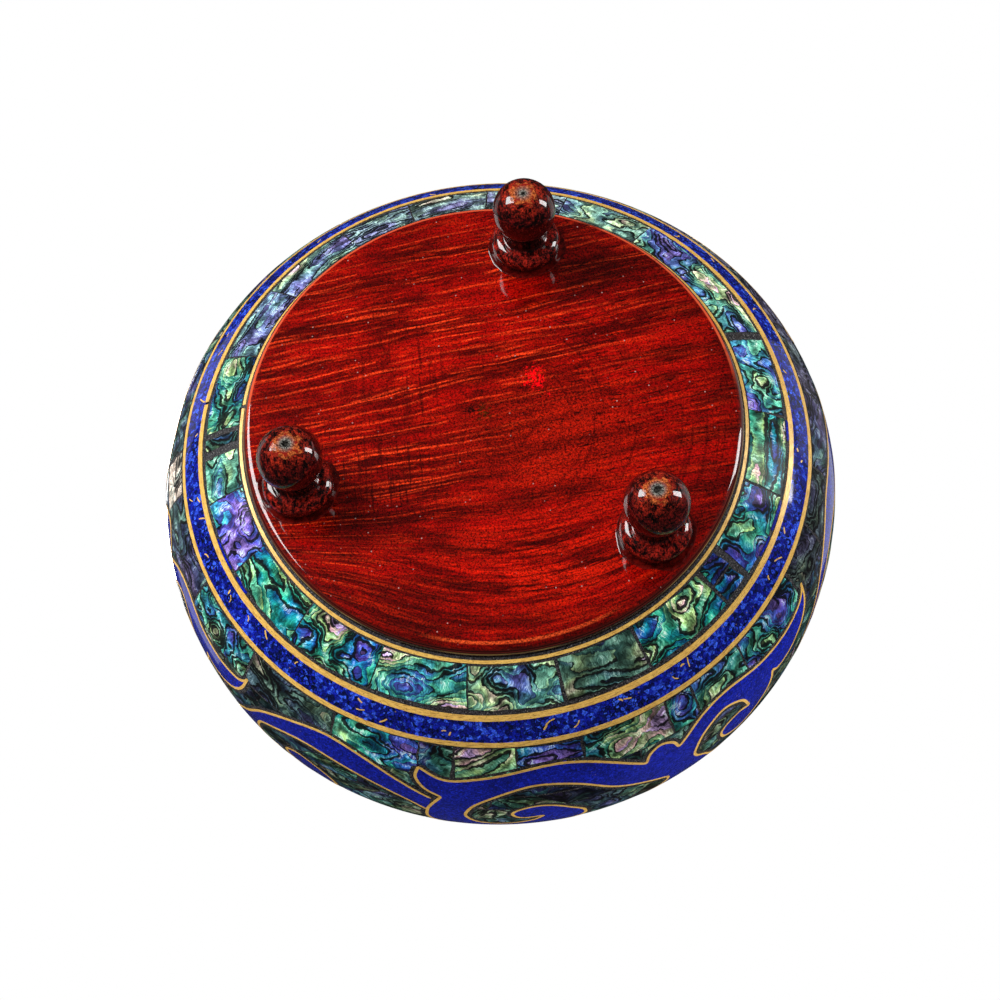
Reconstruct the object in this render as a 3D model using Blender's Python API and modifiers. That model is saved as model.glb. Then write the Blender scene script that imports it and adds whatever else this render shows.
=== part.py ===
"""Inlaid jewelry box: a round, squat, hollow box of turned wood under a skin of shell, crushed stone and brass.

It stands on three turned feet, and its domed lid lifts off. The belly and the lid are one superellipse turned about
the upright axis, in two halves that meet at the girth and part at the seam. The inlay is a skin of even thickness on
that curve, laid in bands that are measured along it. Sizes are in metres. +Z is up, the feet stand on z = 0, and the
axis of the box is the Z axis.
"""

import math

import bmesh
import bpy
import numpy as np

# Outline of the box, outside the inlay
GIRTH_RADIUS = 0.0825
BELLY_DEPTH = 0.0468
BELLY_FULLNESS = 2.5
LID_RISE = 0.0400
LID_FULLNESS = 2.8
SEAM_RISE = 0.0190

# Feet: a ball on a neck over a rounded collar, with the foot's axis set in from the disc's edge. Each was glued
# a little off its even place, by the shift given for it
FOOT_COUNT = 3
FOOT_TURN = 105.0
FOOT_INSET = 0.0106
FOOT_HEIGHT = 0.0223
FOOT_SHIFTS = ((-0.00035, 0.0), (0.0, 0.00075), (-0.0004, 0.0001))
BALL_RADIUS = 0.00745
BALL_FLAT_RADIUS = 0.0023
NECK_RADIUS = 0.0048
COLLAR_RADIUS = 0.0083
COLLAR_SEAT_RADIUS = 0.0068
COLLAR_BEAD_HEIGHT = 0.0018
SHOULDER_RADIUS = 0.0056
SHOULDER_HEIGHT = 0.0048

# Base disc
DISC_RADIUS = 0.0582
DISC_PROUD = 0.0023
DISC_THICKNESS = 0.0026
DISC_EDGE_ROUNDING = 0.0022

# Wooden walls of the bowl and the lid, and the lip that drops into the mouth
WOOD_WALL = 0.0055
FLOOR_THICKNESS = 0.0070
MOUTH_DEPTH = 0.0065
LIP_DEPTH = 0.0050
LIP_WALL = 0.0032
LIP_CLEARANCE = 0.0005
LEDGE_HEIGHT = 0.0025

# Inlay skin: its thickness, and the width of each band along the curve, from the disc up to the seam
INLAY_THICKNESS = 0.0025
DISC_GROOVE = 0.0004
BASE_RING_WIDTH = 0.0008
ABALONE_BAND_WIDTH = 0.0116
MIDDLE_RING_WIDTH = 0.0014
LAPIS_BAND_WIDTH = 0.0053
BELLY_RING_WIDTH = 0.0012
RIM_RING_WIDTH = 0.0014

# The same for the lid, from its rim up to the medallion, which fills the crown
LID_RIM_RING_WIDTH = 0.0018
LID_RING_WIDTH = 0.0012
LID_LAPIS_BAND_WIDTH = 0.0053
MEDALLION_RADIUS = 0.0440

# Shell tiles of the abalone band: the joints between them, in degrees about the axis, and how they sit in their bed
TILE_JOINTS = (1.2, 6.2, 24.8, 42.5, 62, 77, 94, 111, 130, 144.5, 164, 183, 200.3, 218.4, 225.2, 244.5, 262, 280.7,
               299.5, 318, 336, 351.4)
TILE_THICKNESS = 0.0012
TILE_MARGIN = 0.0009
BED_RIB_WIDTH = 0.0006

# The gap that touching pieces keep, and the distance within which points are one
GAP = 0.0003
MERGE_DISTANCE = 0.000005

# Fineness of the facets
TURN_STEPS = 36
FOOT_STEPS = 14
CURVE_SAMPLES = 400
BELLY_CELLS = 5
INSIDE_CELLS = 4
DOME_STEPS = 4
MEDALLION_CELLS = 2
TILE_CELLS = 2

BOX_NAME = "inlaid_jewelry_box"


# Collections and materials


def clear_scene():
    for obj in list(bpy.data.objects):
        bpy.data.objects.remove(obj, do_unlink=True)


def new_collection(name):
    collection = bpy.data.collections.new(name)
    bpy.context.scene.collection.children.link(collection)
    return collection


def principled(name, colour, roughness, metallic=0.0):
    found = bpy.data.materials.get(name)
    if found:
        return found
    material = bpy.data.materials.new(name)
    material.use_nodes = True
    shader = material.node_tree.nodes["Principled BSDF"]
    shader.inputs["Base Color"].default_value = (*colour, 1.0)
    shader.inputs["Roughness"].default_value = roughness
    shader.inputs["Metallic"].default_value = metallic
    return material


def lacquered_wood():
    return principled("lacquered_wood", (0.32, 0.022, 0.006), 0.18)


def stained_wood():
    return principled("stained_wood", (0.20, 0.030, 0.012), 0.45)


def brass():
    return principled("brass", (0.72, 0.48, 0.18), 0.30, 1.0)


def lapis():
    return principled("lapis", (0.008, 0.022, 0.42), 0.25)


def abalone():
    return principled("abalone", (0.13, 0.40, 0.36), 0.20)


def dark_resin():
    return principled("dark_resin", (0.030, 0.030, 0.032), 0.30)


# The outline: a fine curve from the pole below, out over the girth, to the pole above


def superellipse_quarter(reach, rise, fullness):
    """Radius and height of one quarter, from the girth to the pole."""
    angle = np.linspace(0.0, math.pi / 2, CURVE_SAMPLES)
    power = 2.0 / fullness
    return reach * np.cos(angle) ** power, rise * np.sin(angle) ** power


def belly_drop(radius):
    """How far below the girth the belly's curve is at a radius."""
    return BELLY_DEPTH * (1.0 - (radius / GIRTH_RADIUS) ** BELLY_FULLNESS) ** (1.0 / BELLY_FULLNESS)


DISC_FACE_Z = FOOT_HEIGHT
GIRTH_Z = DISC_FACE_Z + DISC_PROUD + belly_drop(DISC_RADIUS)
SEAM_Z = GIRTH_Z + SEAM_RISE


def outline():
    """Distance along the curve, radius, height and outward normal, with the distance counted from the disc's edge."""
    low_r, low_drop = superellipse_quarter(GIRTH_RADIUS, BELLY_DEPTH, BELLY_FULLNESS)
    high_r, high_rise = superellipse_quarter(GIRTH_RADIUS, LID_RISE, LID_FULLNESS)
    radius = np.concatenate([low_r[::-1], high_r[1:]])
    height = np.concatenate([GIRTH_Z - low_drop[::-1], GIRTH_Z + high_rise[1:]])
    distance = np.concatenate([[0.0], np.cumsum(np.hypot(np.diff(radius), np.diff(height)))])
    slope_r, slope_z = np.gradient(radius, distance), np.gradient(height, distance)
    length = np.hypot(slope_r, slope_z)
    distance -= np.interp(DISC_RADIUS, radius[:CURVE_SAMPLES], distance[:CURVE_SAMPLES])
    return distance, radius, height, slope_z / length, -slope_r / length


ALONG, OUT_R, OUT_Z, NORMAL_R, NORMAL_Z = outline()


def skin(distance, depth=0.0):
    """Radius and height of the point at a distance along the curve and a depth below it."""
    radius = np.interp(distance, ALONG, OUT_R) - depth * np.interp(distance, ALONG, NORMAL_R)
    height = np.interp(distance, ALONG, OUT_Z) - depth * np.interp(distance, ALONG, NORMAL_Z)
    return max(float(radius), 0.0), float(height)


def distance_at(height, depth=0.0):
    """Where the curve, taken at a depth, is at a height."""
    return float(np.interp(height, OUT_Z - depth * NORMAL_Z, ALONG))


def stations(start, end, cells):
    """Distances from start to end, evenly spaced."""
    return [start + (end - start) * i / cells for i in range(cells + 1)]


def stretch(start, end, depth, cells):
    """Points along the curve at a depth, from start to end."""
    return [skin(distance, depth) for distance in stations(start, end, cells)]


def radius_at_height(height, depth):
    return skin(distance_at(height, depth), depth)[0]


# Where the bands begin and end along the curve

BASE_RING_AT = DISC_GROOVE
ABALONE_BAND_AT = BASE_RING_AT + BASE_RING_WIDTH
MIDDLE_RING_AT = ABALONE_BAND_AT + ABALONE_BAND_WIDTH
LAPIS_BAND_AT = MIDDLE_RING_AT + MIDDLE_RING_WIDTH
BELLY_RING_AT = LAPIS_BAND_AT + LAPIS_BAND_WIDTH
BELLY_FIELD_AT = BELLY_RING_AT + BELLY_RING_WIDTH
SEAM_AT = distance_at(SEAM_Z)
RIM_RING_AT = SEAM_AT - RIM_RING_WIDTH
LID_EDGE_Z = SEAM_Z + GAP
LID_EDGE_AT = distance_at(LID_EDGE_Z)
LID_FIELD_AT = LID_EDGE_AT + LID_RIM_RING_WIDTH
MEDALLION_AT = float(np.interp(-MEDALLION_RADIUS, -OUT_R[CURVE_SAMPLES:], ALONG[CURVE_SAMPLES:]))
LID_INNER_RING_AT = MEDALLION_AT - LID_RING_WIDTH
LID_LAPIS_BAND_AT = LID_INNER_RING_AT - LID_LAPIS_BAND_WIDTH
LID_OUTER_RING_AT = LID_LAPIS_BAND_AT - LID_RING_WIDTH
POLE_AT = float(ALONG[-1])

WOOD_DEPTH = INLAY_THICKNESS + GAP
INSIDE_DEPTH = WOOD_DEPTH + WOOD_WALL
MOUTH_RADIUS = radius_at_height(SEAM_Z, INSIDE_DEPTH)
UNDERSIDE_Z = DISC_FACE_Z + DISC_THICKNESS + GAP
FLOOR_Z = UNDERSIDE_Z + FLOOR_THICKNESS


# Building


def turned(name, profile, material, collection, steps=TURN_STEPS, closed=False):
    """A profile of radius and height, top to bottom down its outer side, turned about the Z axis."""
    mesh = bpy.data.meshes.new(name)
    points = [(radius, 0.0, height) for radius, height in profile]
    edges = [(i, i + 1) for i in range(len(points) - 1)]
    if closed:
        edges.append((len(points) - 1, 0))
    mesh.from_pydata(points, edges, [])
    mesh.materials.append(material)
    obj = bpy.data.objects.new(name, mesh)
    collection.objects.link(obj)
    screw = obj.modifiers.new("turn", "SCREW")
    screw.steps = screw.render_steps = steps
    screw.use_merge_vertices = True
    screw.merge_threshold = MERGE_DISTANCE
    screw.use_smooth_shade = True
    return obj


def band(name, start, end, material, collection, cells=1):
    """One ring of the inlay skin, between two distances along the curve, with a gap to its neighbours."""
    low, high = start + GAP / 2, end - GAP / 2
    outside = stretch(high, low, 0.0, cells)
    inside = stretch(low, high, INLAY_THICKNESS, cells)
    return turned(name, outside + inside, material, collection, closed=True)


def unit_block(columns, rows):
    """A block from 0 to 1 each way, its top and bottom cut into cells."""
    bm = bmesh.new()
    bmesh.ops.create_grid(bm, x_segments=columns, y_segments=rows, size=0.5)
    bottom = bm.faces[:]
    raised = bmesh.ops.extrude_face_region(bm, geom=bottom, use_keep_orig=True)
    top = [v for v in raised["geom"] if isinstance(v, bmesh.types.BMVert)]
    bmesh.ops.translate(bm, verts=top, vec=(0.0, 0.0, 1.0))
    bmesh.ops.translate(bm, verts=bm.verts[:], vec=(0.5, 0.5, 0.0))
    bmesh.ops.recalc_face_normals(bm, faces=bm.faces[:])
    return bm


def bend_onto_skin(bm, angles, distances, depth):
    """Moves a unit block onto the curve: x picks an angle, y a distance, and z runs from the depth out to the skin."""
    for vert in bm.verts:
        angle = math.radians(angles[round(vert.co.x * (len(angles) - 1))])
        at = distances[round(vert.co.y * (len(distances) - 1))]
        radius, height = skin(at, depth * (1.0 - vert.co.z))
        vert.co = (radius * math.cos(angle), radius * math.sin(angle), height)


def finish_mesh(bm, name, material, collection):
    mesh = bpy.data.meshes.new(name)
    bm.to_mesh(mesh)
    bm.free()
    mesh.materials.append(material)
    obj = bpy.data.objects.new(name, mesh)
    collection.objects.link(obj)
    return obj


# Feet and base disc


def foot_profile():
    """Ball, neck and collar, from the seat on the disc down to the flat end of the ball."""
    seat_z = DISC_FACE_Z - GAP
    bead_z = DISC_FACE_Z - COLLAR_BEAD_HEIGHT
    ball_z = math.sqrt(BALL_RADIUS**2 - BALL_FLAT_RADIUS**2)
    neck_z = ball_z + math.sqrt(BALL_RADIUS**2 - NECK_RADIUS**2)
    profile = [(0.0, seat_z), (COLLAR_SEAT_RADIUS, seat_z)]
    shoulder_cells, ball_cells = 3, 7
    for i in range(shoulder_cells + 1):
        turn = math.pi / 2 * i / shoulder_cells
        radius = SHOULDER_RADIUS + (COLLAR_RADIUS - SHOULDER_RADIUS) * math.cos(turn)
        profile.append((radius, bead_z - (SHOULDER_HEIGHT - COLLAR_BEAD_HEIGHT) * math.sin(turn)))
    first, last = math.asin((neck_z - ball_z) / BALL_RADIUS), -math.asin(ball_z / BALL_RADIUS)
    for i in range(ball_cells + 1):
        turn = first + (last - first) * i / ball_cells
        profile.append((BALL_RADIUS * math.cos(turn), ball_z + BALL_RADIUS * math.sin(turn)))
    profile[-1] = (BALL_FLAT_RADIUS, 0.0)
    profile.append((0.0, 0.0))
    return profile


def make_feet(collection):
    for i in range(FOOT_COUNT):
        foot = turned(f"foot_{i + 1}", foot_profile(), lacquered_wood(), collection, FOOT_STEPS)
        angle = math.radians(FOOT_TURN + 360.0 * i / FOOT_COUNT)
        reach = DISC_RADIUS - FOOT_INSET
        across, up = FOOT_SHIFTS[i]
        foot.location = (reach * math.cos(angle) + across, reach * math.sin(angle) + up, 0.0)
        foot.rotation_euler = (0.0, 0.0, angle)


def make_base_disc(collection):
    """A flat plate with a quarter-round edge below."""
    top = DISC_FACE_Z + DISC_THICKNESS
    rounding_cells = 3
    profile = [(0.0, top), (DISC_RADIUS, top)]
    for i in range(rounding_cells + 1):
        turn = math.pi / 2 * i / rounding_cells
        inward = DISC_EDGE_ROUNDING * (1.0 - math.cos(turn))
        profile.append((DISC_RADIUS - inward, DISC_FACE_Z + DISC_EDGE_ROUNDING * (1.0 - math.sin(turn))))
    profile.append((0.0, DISC_FACE_Z))
    turned("base_disc", profile, lacquered_wood(), collection)


# Wooden bowl and lid core


def make_bowl(collection):
    """The hollow wooden core, from the middle of its floor, up inside, over the rim and down outside."""
    inner_top = distance_at(SEAM_Z - MOUTH_DEPTH - LEDGE_HEIGHT, INSIDE_DEPTH)
    inside = stretch(distance_at(FLOOR_Z, INSIDE_DEPTH), inner_top, INSIDE_DEPTH, INSIDE_CELLS)
    mouth = [(MOUTH_RADIUS, SEAM_Z - MOUTH_DEPTH), (MOUTH_RADIUS, SEAM_Z)]
    seats = [BASE_RING_AT, (MIDDLE_RING_AT + LAPIS_BAND_AT) / 2]
    seats += stations((BELLY_RING_AT + BELLY_FIELD_AT) / 2, RIM_RING_AT, BELLY_CELLS)
    outside = [skin(distance, WOOD_DEPTH) for distance in seats]
    outside.append((radius_at_height(SEAM_Z, WOOD_DEPTH), SEAM_Z))
    underside = [(outside[0][0], UNDERSIDE_Z), (0.0, UNDERSIDE_Z)]
    turned("bowl", [(0.0, FLOOR_Z)] + inside + mouth + outside[::-1] + underside, stained_wood(), collection)


def make_lid_core(collection):
    """The hollow wooden dome, from its crown down outside, under the rim and the lip, and up inside."""
    seats = stations(LID_FIELD_AT, (LID_OUTER_RING_AT + LID_LAPIS_BAND_AT) / 2, DOME_STEPS)
    seats += stations((LID_INNER_RING_AT + MEDALLION_AT) / 2, POLE_AT, MEDALLION_CELLS)
    outside = [skin(distance, WOOD_DEPTH) for distance in reversed(seats)]
    outside.append((radius_at_height(LID_EDGE_Z, WOOD_DEPTH), LID_EDGE_Z))
    lip_radius = MOUTH_RADIUS - LIP_CLEARANCE
    lip_z = SEAM_Z - LIP_DEPTH
    lip = [(lip_radius, LID_EDGE_Z), (lip_radius, lip_z), (lip_radius - LIP_WALL, lip_z)]
    ledge_z = LID_EDGE_Z + LEDGE_HEIGHT
    start = distance_at(ledge_z + LEDGE_HEIGHT, INSIDE_DEPTH)
    inside = [(lip_radius - LIP_WALL, ledge_z)] + stretch(start, POLE_AT, INSIDE_DEPTH, INSIDE_CELLS)
    turned("lid_core", outside + lip + inside, stained_wood(), collection)


# Inlay


def make_rim_ring(collection):
    """The bowl's brass ring at the seam, with a level top."""
    far = RIM_RING_AT + GAP / 2
    top = [(radius_at_height(SEAM_Z, depth), SEAM_Z) for depth in (INLAY_THICKNESS, 0.0)]
    turned("rim_brass_ring", top + [skin(far), skin(far, INLAY_THICKNESS)], brass(), collection, closed=True)


def make_lid_rim_ring(collection):
    """The lid's brass ring at the seam: a wedge with a level underside, where the dome leans in over the rim."""
    far = LID_FIELD_AT - GAP / 2
    lean = float(np.interp(far, ALONG, NORMAL_Z))
    depth = min(INLAY_THICKNESS, (skin(far)[1] - LID_EDGE_Z) / lean)
    profile = [skin(far), (radius_at_height(LID_EDGE_Z, 0.0), LID_EDGE_Z)]
    if depth == INLAY_THICKNESS:
        profile.append((radius_at_height(LID_EDGE_Z, depth), LID_EDGE_Z))
    turned("lid_rim_brass_ring", profile + [skin(far, depth)], brass(), collection, closed=True)


def tile_span(index):
    """First and last angle of a tile, in degrees, clear of the ribs beside it."""
    radius = skin(ABALONE_BAND_AT + ABALONE_BAND_WIDTH / 2)[0]
    inset = math.degrees((BED_RIB_WIDTH / 2 + GAP) / radius)
    first = TILE_JOINTS[index]
    last = TILE_JOINTS[(index + 1) % len(TILE_JOINTS)]
    if last < first:
        last += 360.0
    return first + inset, last - inset, math.degrees(GAP / radius)


def tile_name(index):
    return f"shell_tile_{index + 1:02d}"


def make_tiles(collection):
    """Shell tiles, each a thin block bent onto the skin."""
    low = ABALONE_BAND_AT + TILE_MARGIN
    high = MIDDLE_RING_AT - TILE_MARGIN
    for index in range(len(TILE_JOINTS)):
        first, last, _ = tile_span(index)
        angles = [first + (last - first) * i / TILE_CELLS for i in range(TILE_CELLS + 1)]
        bm = unit_block(TILE_CELLS, 1)
        bend_onto_skin(bm, angles, [low, high], TILE_THICKNESS)
        finish_mesh(bm, tile_name(index), abalone(), collection)


def make_tile_bed(collection):
    """A ring of resin with a pocket for each tile and a rib between them."""
    angles = []
    for index in range(len(TILE_JOINTS)):
        first, last, clear = tile_span(index)
        first, last = first - clear, last + clear
        angles += [first + (last - first) * i / TILE_CELLS for i in range(TILE_CELLS + 1)]
    angles.append(angles[0] + 360.0)
    distances = [ABALONE_BAND_AT + GAP / 2, ABALONE_BAND_AT + TILE_MARGIN - GAP,
                 MIDDLE_RING_AT - TILE_MARGIN + GAP, MIDDLE_RING_AT - GAP / 2]
    columns, rows = len(angles) - 1, len(distances) - 1
    bm = unit_block(columns, rows)
    ends = [face for face in bm.faces if abs(face.normal.x) > abs(face.normal.y) + abs(face.normal.z)]
    bmesh.ops.delete(bm, geom=ends, context="FACES")
    pocket_depth = (TILE_THICKNESS + GAP) / INLAY_THICKNESS
    for index in range(len(TILE_JOINTS)):
        first = index * (TILE_CELLS + 1)
        pocket = [face for face in bm.faces if face.normal.z > 0.0
                  and first < face.calc_center_median().x * columns < first + TILE_CELLS
                  and 1 < face.calc_center_median().y * rows < rows - 1]
        sunk = bmesh.ops.extrude_face_region(bm, geom=pocket)
        bmesh.ops.delete(bm, geom=pocket, context="FACES")
        floor = [v for v in sunk["geom"] if isinstance(v, bmesh.types.BMVert)]
        bmesh.ops.translate(bm, verts=floor, vec=(0.0, 0.0, -pocket_depth))
    bend_onto_skin(bm, angles, distances, INLAY_THICKNESS)
    bmesh.ops.remove_doubles(bm, verts=bm.verts[:], dist=MERGE_DISTANCE)
    finish_mesh(bm, "abalone_bed", dark_resin(), collection)


def make_body_inlay(collection):
    band("base_brass_ring", BASE_RING_AT, ABALONE_BAND_AT, brass(), collection)
    make_tile_bed(collection)
    make_tiles(collection)
    band("middle_brass_ring", MIDDLE_RING_AT, LAPIS_BAND_AT, brass(), collection)
    band("lapis_band", LAPIS_BAND_AT, BELLY_RING_AT, lapis(), collection)
    band("belly_brass_ring", BELLY_RING_AT, BELLY_FIELD_AT, brass(), collection)
    band("belly_inlay", BELLY_FIELD_AT, RIM_RING_AT, abalone(), collection, BELLY_CELLS)
    make_rim_ring(collection)


def make_lid_inlay(collection):
    make_lid_rim_ring(collection)
    band("lid_abalone_field", LID_FIELD_AT, LID_OUTER_RING_AT, abalone(), collection, DOME_STEPS)
    band("lid_outer_brass_ring", LID_OUTER_RING_AT, LID_LAPIS_BAND_AT, brass(), collection)
    band("lid_lapis_band", LID_LAPIS_BAND_AT, LID_INNER_RING_AT, lapis(), collection)
    band("lid_inner_brass_ring", LID_INNER_RING_AT, MEDALLION_AT, brass(), collection)
    low = MEDALLION_AT + GAP / 2
    crown = stretch(POLE_AT, low, 0.0, MEDALLION_CELLS)
    under = stretch(low, POLE_AT, INLAY_THICKNESS, MEDALLION_CELLS)
    turned("lid_medallion", crown + under, abalone(), collection)


def main():
    clear_scene()
    collection = new_collection(BOX_NAME)
    make_feet(collection)
    make_base_disc(collection)
    make_bowl(collection)
    make_body_inlay(collection)
    make_lid_core(collection)
    make_lid_inlay(collection)


main()
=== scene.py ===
"""Inlaid jewelry box, dressed for the picture.

The inlay is drawn flat first: x is an angle about the box's axis in degrees, y a distance along the box's curve in
millimetres, counted from the edge of the base disc, and z a height over the skin in millimetres. It is then wrapped
onto the box. The picture looks up at the box's underside.
"""

import math
import random

import bmesh
import bpy
import numpy as np
from bpy.props import FloatProperty, FloatVectorProperty, PointerProperty
from mathutils import Matrix, Quaternion, Vector, noise


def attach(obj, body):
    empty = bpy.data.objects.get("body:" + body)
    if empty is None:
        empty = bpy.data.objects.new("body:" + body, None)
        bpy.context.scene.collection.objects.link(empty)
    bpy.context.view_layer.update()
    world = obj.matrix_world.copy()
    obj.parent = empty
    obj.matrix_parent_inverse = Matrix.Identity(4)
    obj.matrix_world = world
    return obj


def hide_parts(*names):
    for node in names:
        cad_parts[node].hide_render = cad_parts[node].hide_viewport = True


bl_info = {
    "name": "Inlaid Jewelry Box",
    "version": (1, 0, 0),
    "blender": (4, 5, 0),
    "location": "View3D > Sidebar > Jewelry Box",
    "description": "Turned wooden box on ball feet with an inlay of shell, crushed lapis and brass wire",
    "category": "Add Mesh",
}

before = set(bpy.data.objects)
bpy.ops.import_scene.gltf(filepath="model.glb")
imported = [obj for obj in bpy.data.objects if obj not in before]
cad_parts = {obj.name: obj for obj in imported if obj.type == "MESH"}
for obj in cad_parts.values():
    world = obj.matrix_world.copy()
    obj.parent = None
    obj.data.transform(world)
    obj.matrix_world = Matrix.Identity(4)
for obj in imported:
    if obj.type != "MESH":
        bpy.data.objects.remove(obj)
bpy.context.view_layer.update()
BODY = "root"
MM = 0.001

# Outline of the box, in millimetres
GIRTH_RADIUS, BELLY_DEPTH, BELLY_FULLNESS = 82.5, 46.8, 2.5
LID_RISE, LID_FULLNESS, SEAM_RISE = 40.0, 2.8, 19.0
DISC_RADIUS, DISC_PROUD, DISC_THICKNESS, DISC_EDGE_ROUNDING = 58.2, 2.3, 2.6, 2.2
FOOT_HEIGHT, FOOT_CIRCLE, FOOT_TURN = 22.3, 47.6, 105.0
FOOT_SHIFTS = ((-0.35, 0.0), (0.0, 0.75), (-0.4, 0.1))
BALL_RADIUS, BALL_FLAT_RADIUS, NECK_RADIUS = 7.45, 2.3, 4.8
COLLAR_RADIUS, COLLAR_SEAT_RADIUS, COLLAR_BEAD_HEIGHT = 8.3, 6.8, 1.8
SHOULDER_RADIUS, SHOULDER_HEIGHT, COVE = 5.6, 4.8, 1.1
HOLE_RADII = (0.50, 0.95, 0.85)
WOOD_WALL, FLOOR_THICKNESS, MOUTH_DEPTH = 5.5, 7.0, 6.5
LIP_DEPTH, LIP_WALL, LIP_CLEARANCE, LEDGE_HEIGHT = 5.0, 3.2, 0.5, 2.5
SKIN_THICKNESS = 2.5
CAD_GAP = 0.3

# Where the bands begin and end, in millimetres along the curve from the disc's edge
BASE_RING = (0.4, 1.2)
ABALONE_BAND = (1.2, 12.8)
MIDDLE_RING = (12.8, 14.2)
LAPIS_BAND = (14.2, 19.5)
BELLY_RING = (19.5, 20.7)
RIM_RING_WIDTH, LID_RIM_RING_WIDTH, LID_RING_WIDTH, LID_LAPIS_WIDTH = 1.4, 1.8, 1.2, 5.3
MEDALLION_RADIUS = 44.0
TILE_JOINTS = (1.2, 6.2, 24.8, 42.5, 62, 77, 94, 111, 130, 144.5, 164, 183, 200.3, 218.4, 225.2, 244.5, 262, 280.7,
               299.5, 318, 336, 351.4)

# The belly ring bows out by so many millimetres on one side, about this turn round the box
BELLY_RING_BOW, RING_BOWS_AT = 1.3, math.radians(90.0)
# On the same side the base ring is thinner by so much, and the disc was glued so far off centre toward it
BASE_RING_THINS, DISC_OFF_CENTRE = -0.45, 0.45

# How many steps the curve, a ring, the turned wood and a foot have
CURVE_SAMPLES, RING_STEPS, TURN_STEPS, FOOT_STEPS = 1600, 288, 128, 56
# What a degree measures in the flat drawings
MM_PER_DEGREE = 1.25
# The scroll work was drawn with distances from the base ring; on the box they begin here and stretch by this
SCROLL_ORIGIN, SCROLL_STRETCH = 1.25, 1.02


def superellipse_quarter(reach, rise, fullness):
    """Points of a quarter of a rounded outline, from its widest place to its pole."""
    angle = np.linspace(0.0, math.pi / 2, CURVE_SAMPLES)
    power = 2.0 / fullness
    return reach * np.cos(angle) ** power, rise * np.sin(angle) ** power


def belly_drop(radius):
    """How far below the girth the belly lies at a radius."""
    return BELLY_DEPTH * (1.0 - (radius / GIRTH_RADIUS) ** BELLY_FULLNESS) ** (1.0 / BELLY_FULLNESS)


DISC_FACE_Z = FOOT_HEIGHT
GIRTH_Z = DISC_FACE_Z + DISC_PROUD + belly_drop(DISC_RADIUS)
SEAM_Z = GIRTH_Z + SEAM_RISE


def outline():
    """Distance along the curve, radius, height and outward normal, from the pole below to the pole above."""
    low_r, low_drop = superellipse_quarter(GIRTH_RADIUS, BELLY_DEPTH, BELLY_FULLNESS)
    high_r, high_rise = superellipse_quarter(GIRTH_RADIUS, LID_RISE, LID_FULLNESS)
    radius = np.concatenate([low_r[::-1], high_r[1:]])
    height = np.concatenate([GIRTH_Z - low_drop[::-1], GIRTH_Z + high_rise[1:]])
    distance = np.concatenate([[0.0], np.cumsum(np.hypot(np.diff(radius), np.diff(height)))])
    slope_r, slope_z = np.gradient(radius, distance), np.gradient(height, distance)
    length = np.hypot(slope_r, slope_z)
    distance -= np.interp(DISC_RADIUS, radius[:CURVE_SAMPLES], distance[:CURVE_SAMPLES])
    return distance, radius, height, slope_z / length, -slope_r / length


ALONG, OUT_R, OUT_Z, NORMAL_R, NORMAL_Z = outline()


def skin(distance, depth=0.0):
    """Radius and height, in millimetres, of points at a distance along the curve and a depth below it."""
    radius = np.interp(distance, ALONG, OUT_R) - depth * np.interp(distance, ALONG, NORMAL_R)
    height = np.interp(distance, ALONG, OUT_Z) - depth * np.interp(distance, ALONG, NORMAL_Z)
    return np.maximum(radius, 0.0), height


def distance_at(height, depth=0.0):
    """The distance along the curve where a line so deep under it reaches a height."""
    return float(np.interp(height, OUT_Z - depth * NORMAL_Z, ALONG))


def stretch(start, end, depth, cells):
    """Radius and height of evenly spaced points between two distances along the curve, so deep under it."""
    radius, height = skin(np.linspace(start, end, cells + 1), depth)
    return list(zip(radius.tolist(), height.tolist()))


def radius_at_height(height, depth):
    return float(skin(distance_at(height, depth), depth)[0])


SEAM_AT = distance_at(SEAM_Z)
RIM_RING = (SEAM_AT - RIM_RING_WIDTH, SEAM_AT)
LID_EDGE_Z = SEAM_Z + CAD_GAP
LID_EDGE_AT = distance_at(LID_EDGE_Z)
LID_RIM_RING = (LID_EDGE_AT, LID_EDGE_AT + LID_RIM_RING_WIDTH)
MEDALLION_AT = float(np.interp(-MEDALLION_RADIUS, -OUT_R[CURVE_SAMPLES:], ALONG[CURVE_SAMPLES:]))
LID_INNER_RING = (MEDALLION_AT - LID_RING_WIDTH, MEDALLION_AT)
LID_LAPIS_BAND = (LID_INNER_RING[0] - LID_LAPIS_WIDTH, LID_INNER_RING[0])
LID_OUTER_RING = (LID_LAPIS_BAND[0] - LID_RING_WIDTH, LID_LAPIS_BAND[0])
LID_FIELD = (LID_RIM_RING[1], LID_OUTER_RING[0])
BELLY_FIELD = (BELLY_RING[1], RIM_RING[0])
POLE_AT = float(ALONG[-1])
WOOD_DEPTH = SKIN_THICKNESS + CAD_GAP
INSIDE_DEPTH = WOOD_DEPTH + WOOD_WALL
MOUTH_RADIUS = radius_at_height(SEAM_Z, INSIDE_DEPTH)
UNDERSIDE_Z = DISC_FACE_Z + DISC_THICKNESS + CAD_GAP
FLOOR_Z = UNDERSIDE_Z + FLOOR_THICKNESS


# Sizes and colours that a user would change


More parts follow.
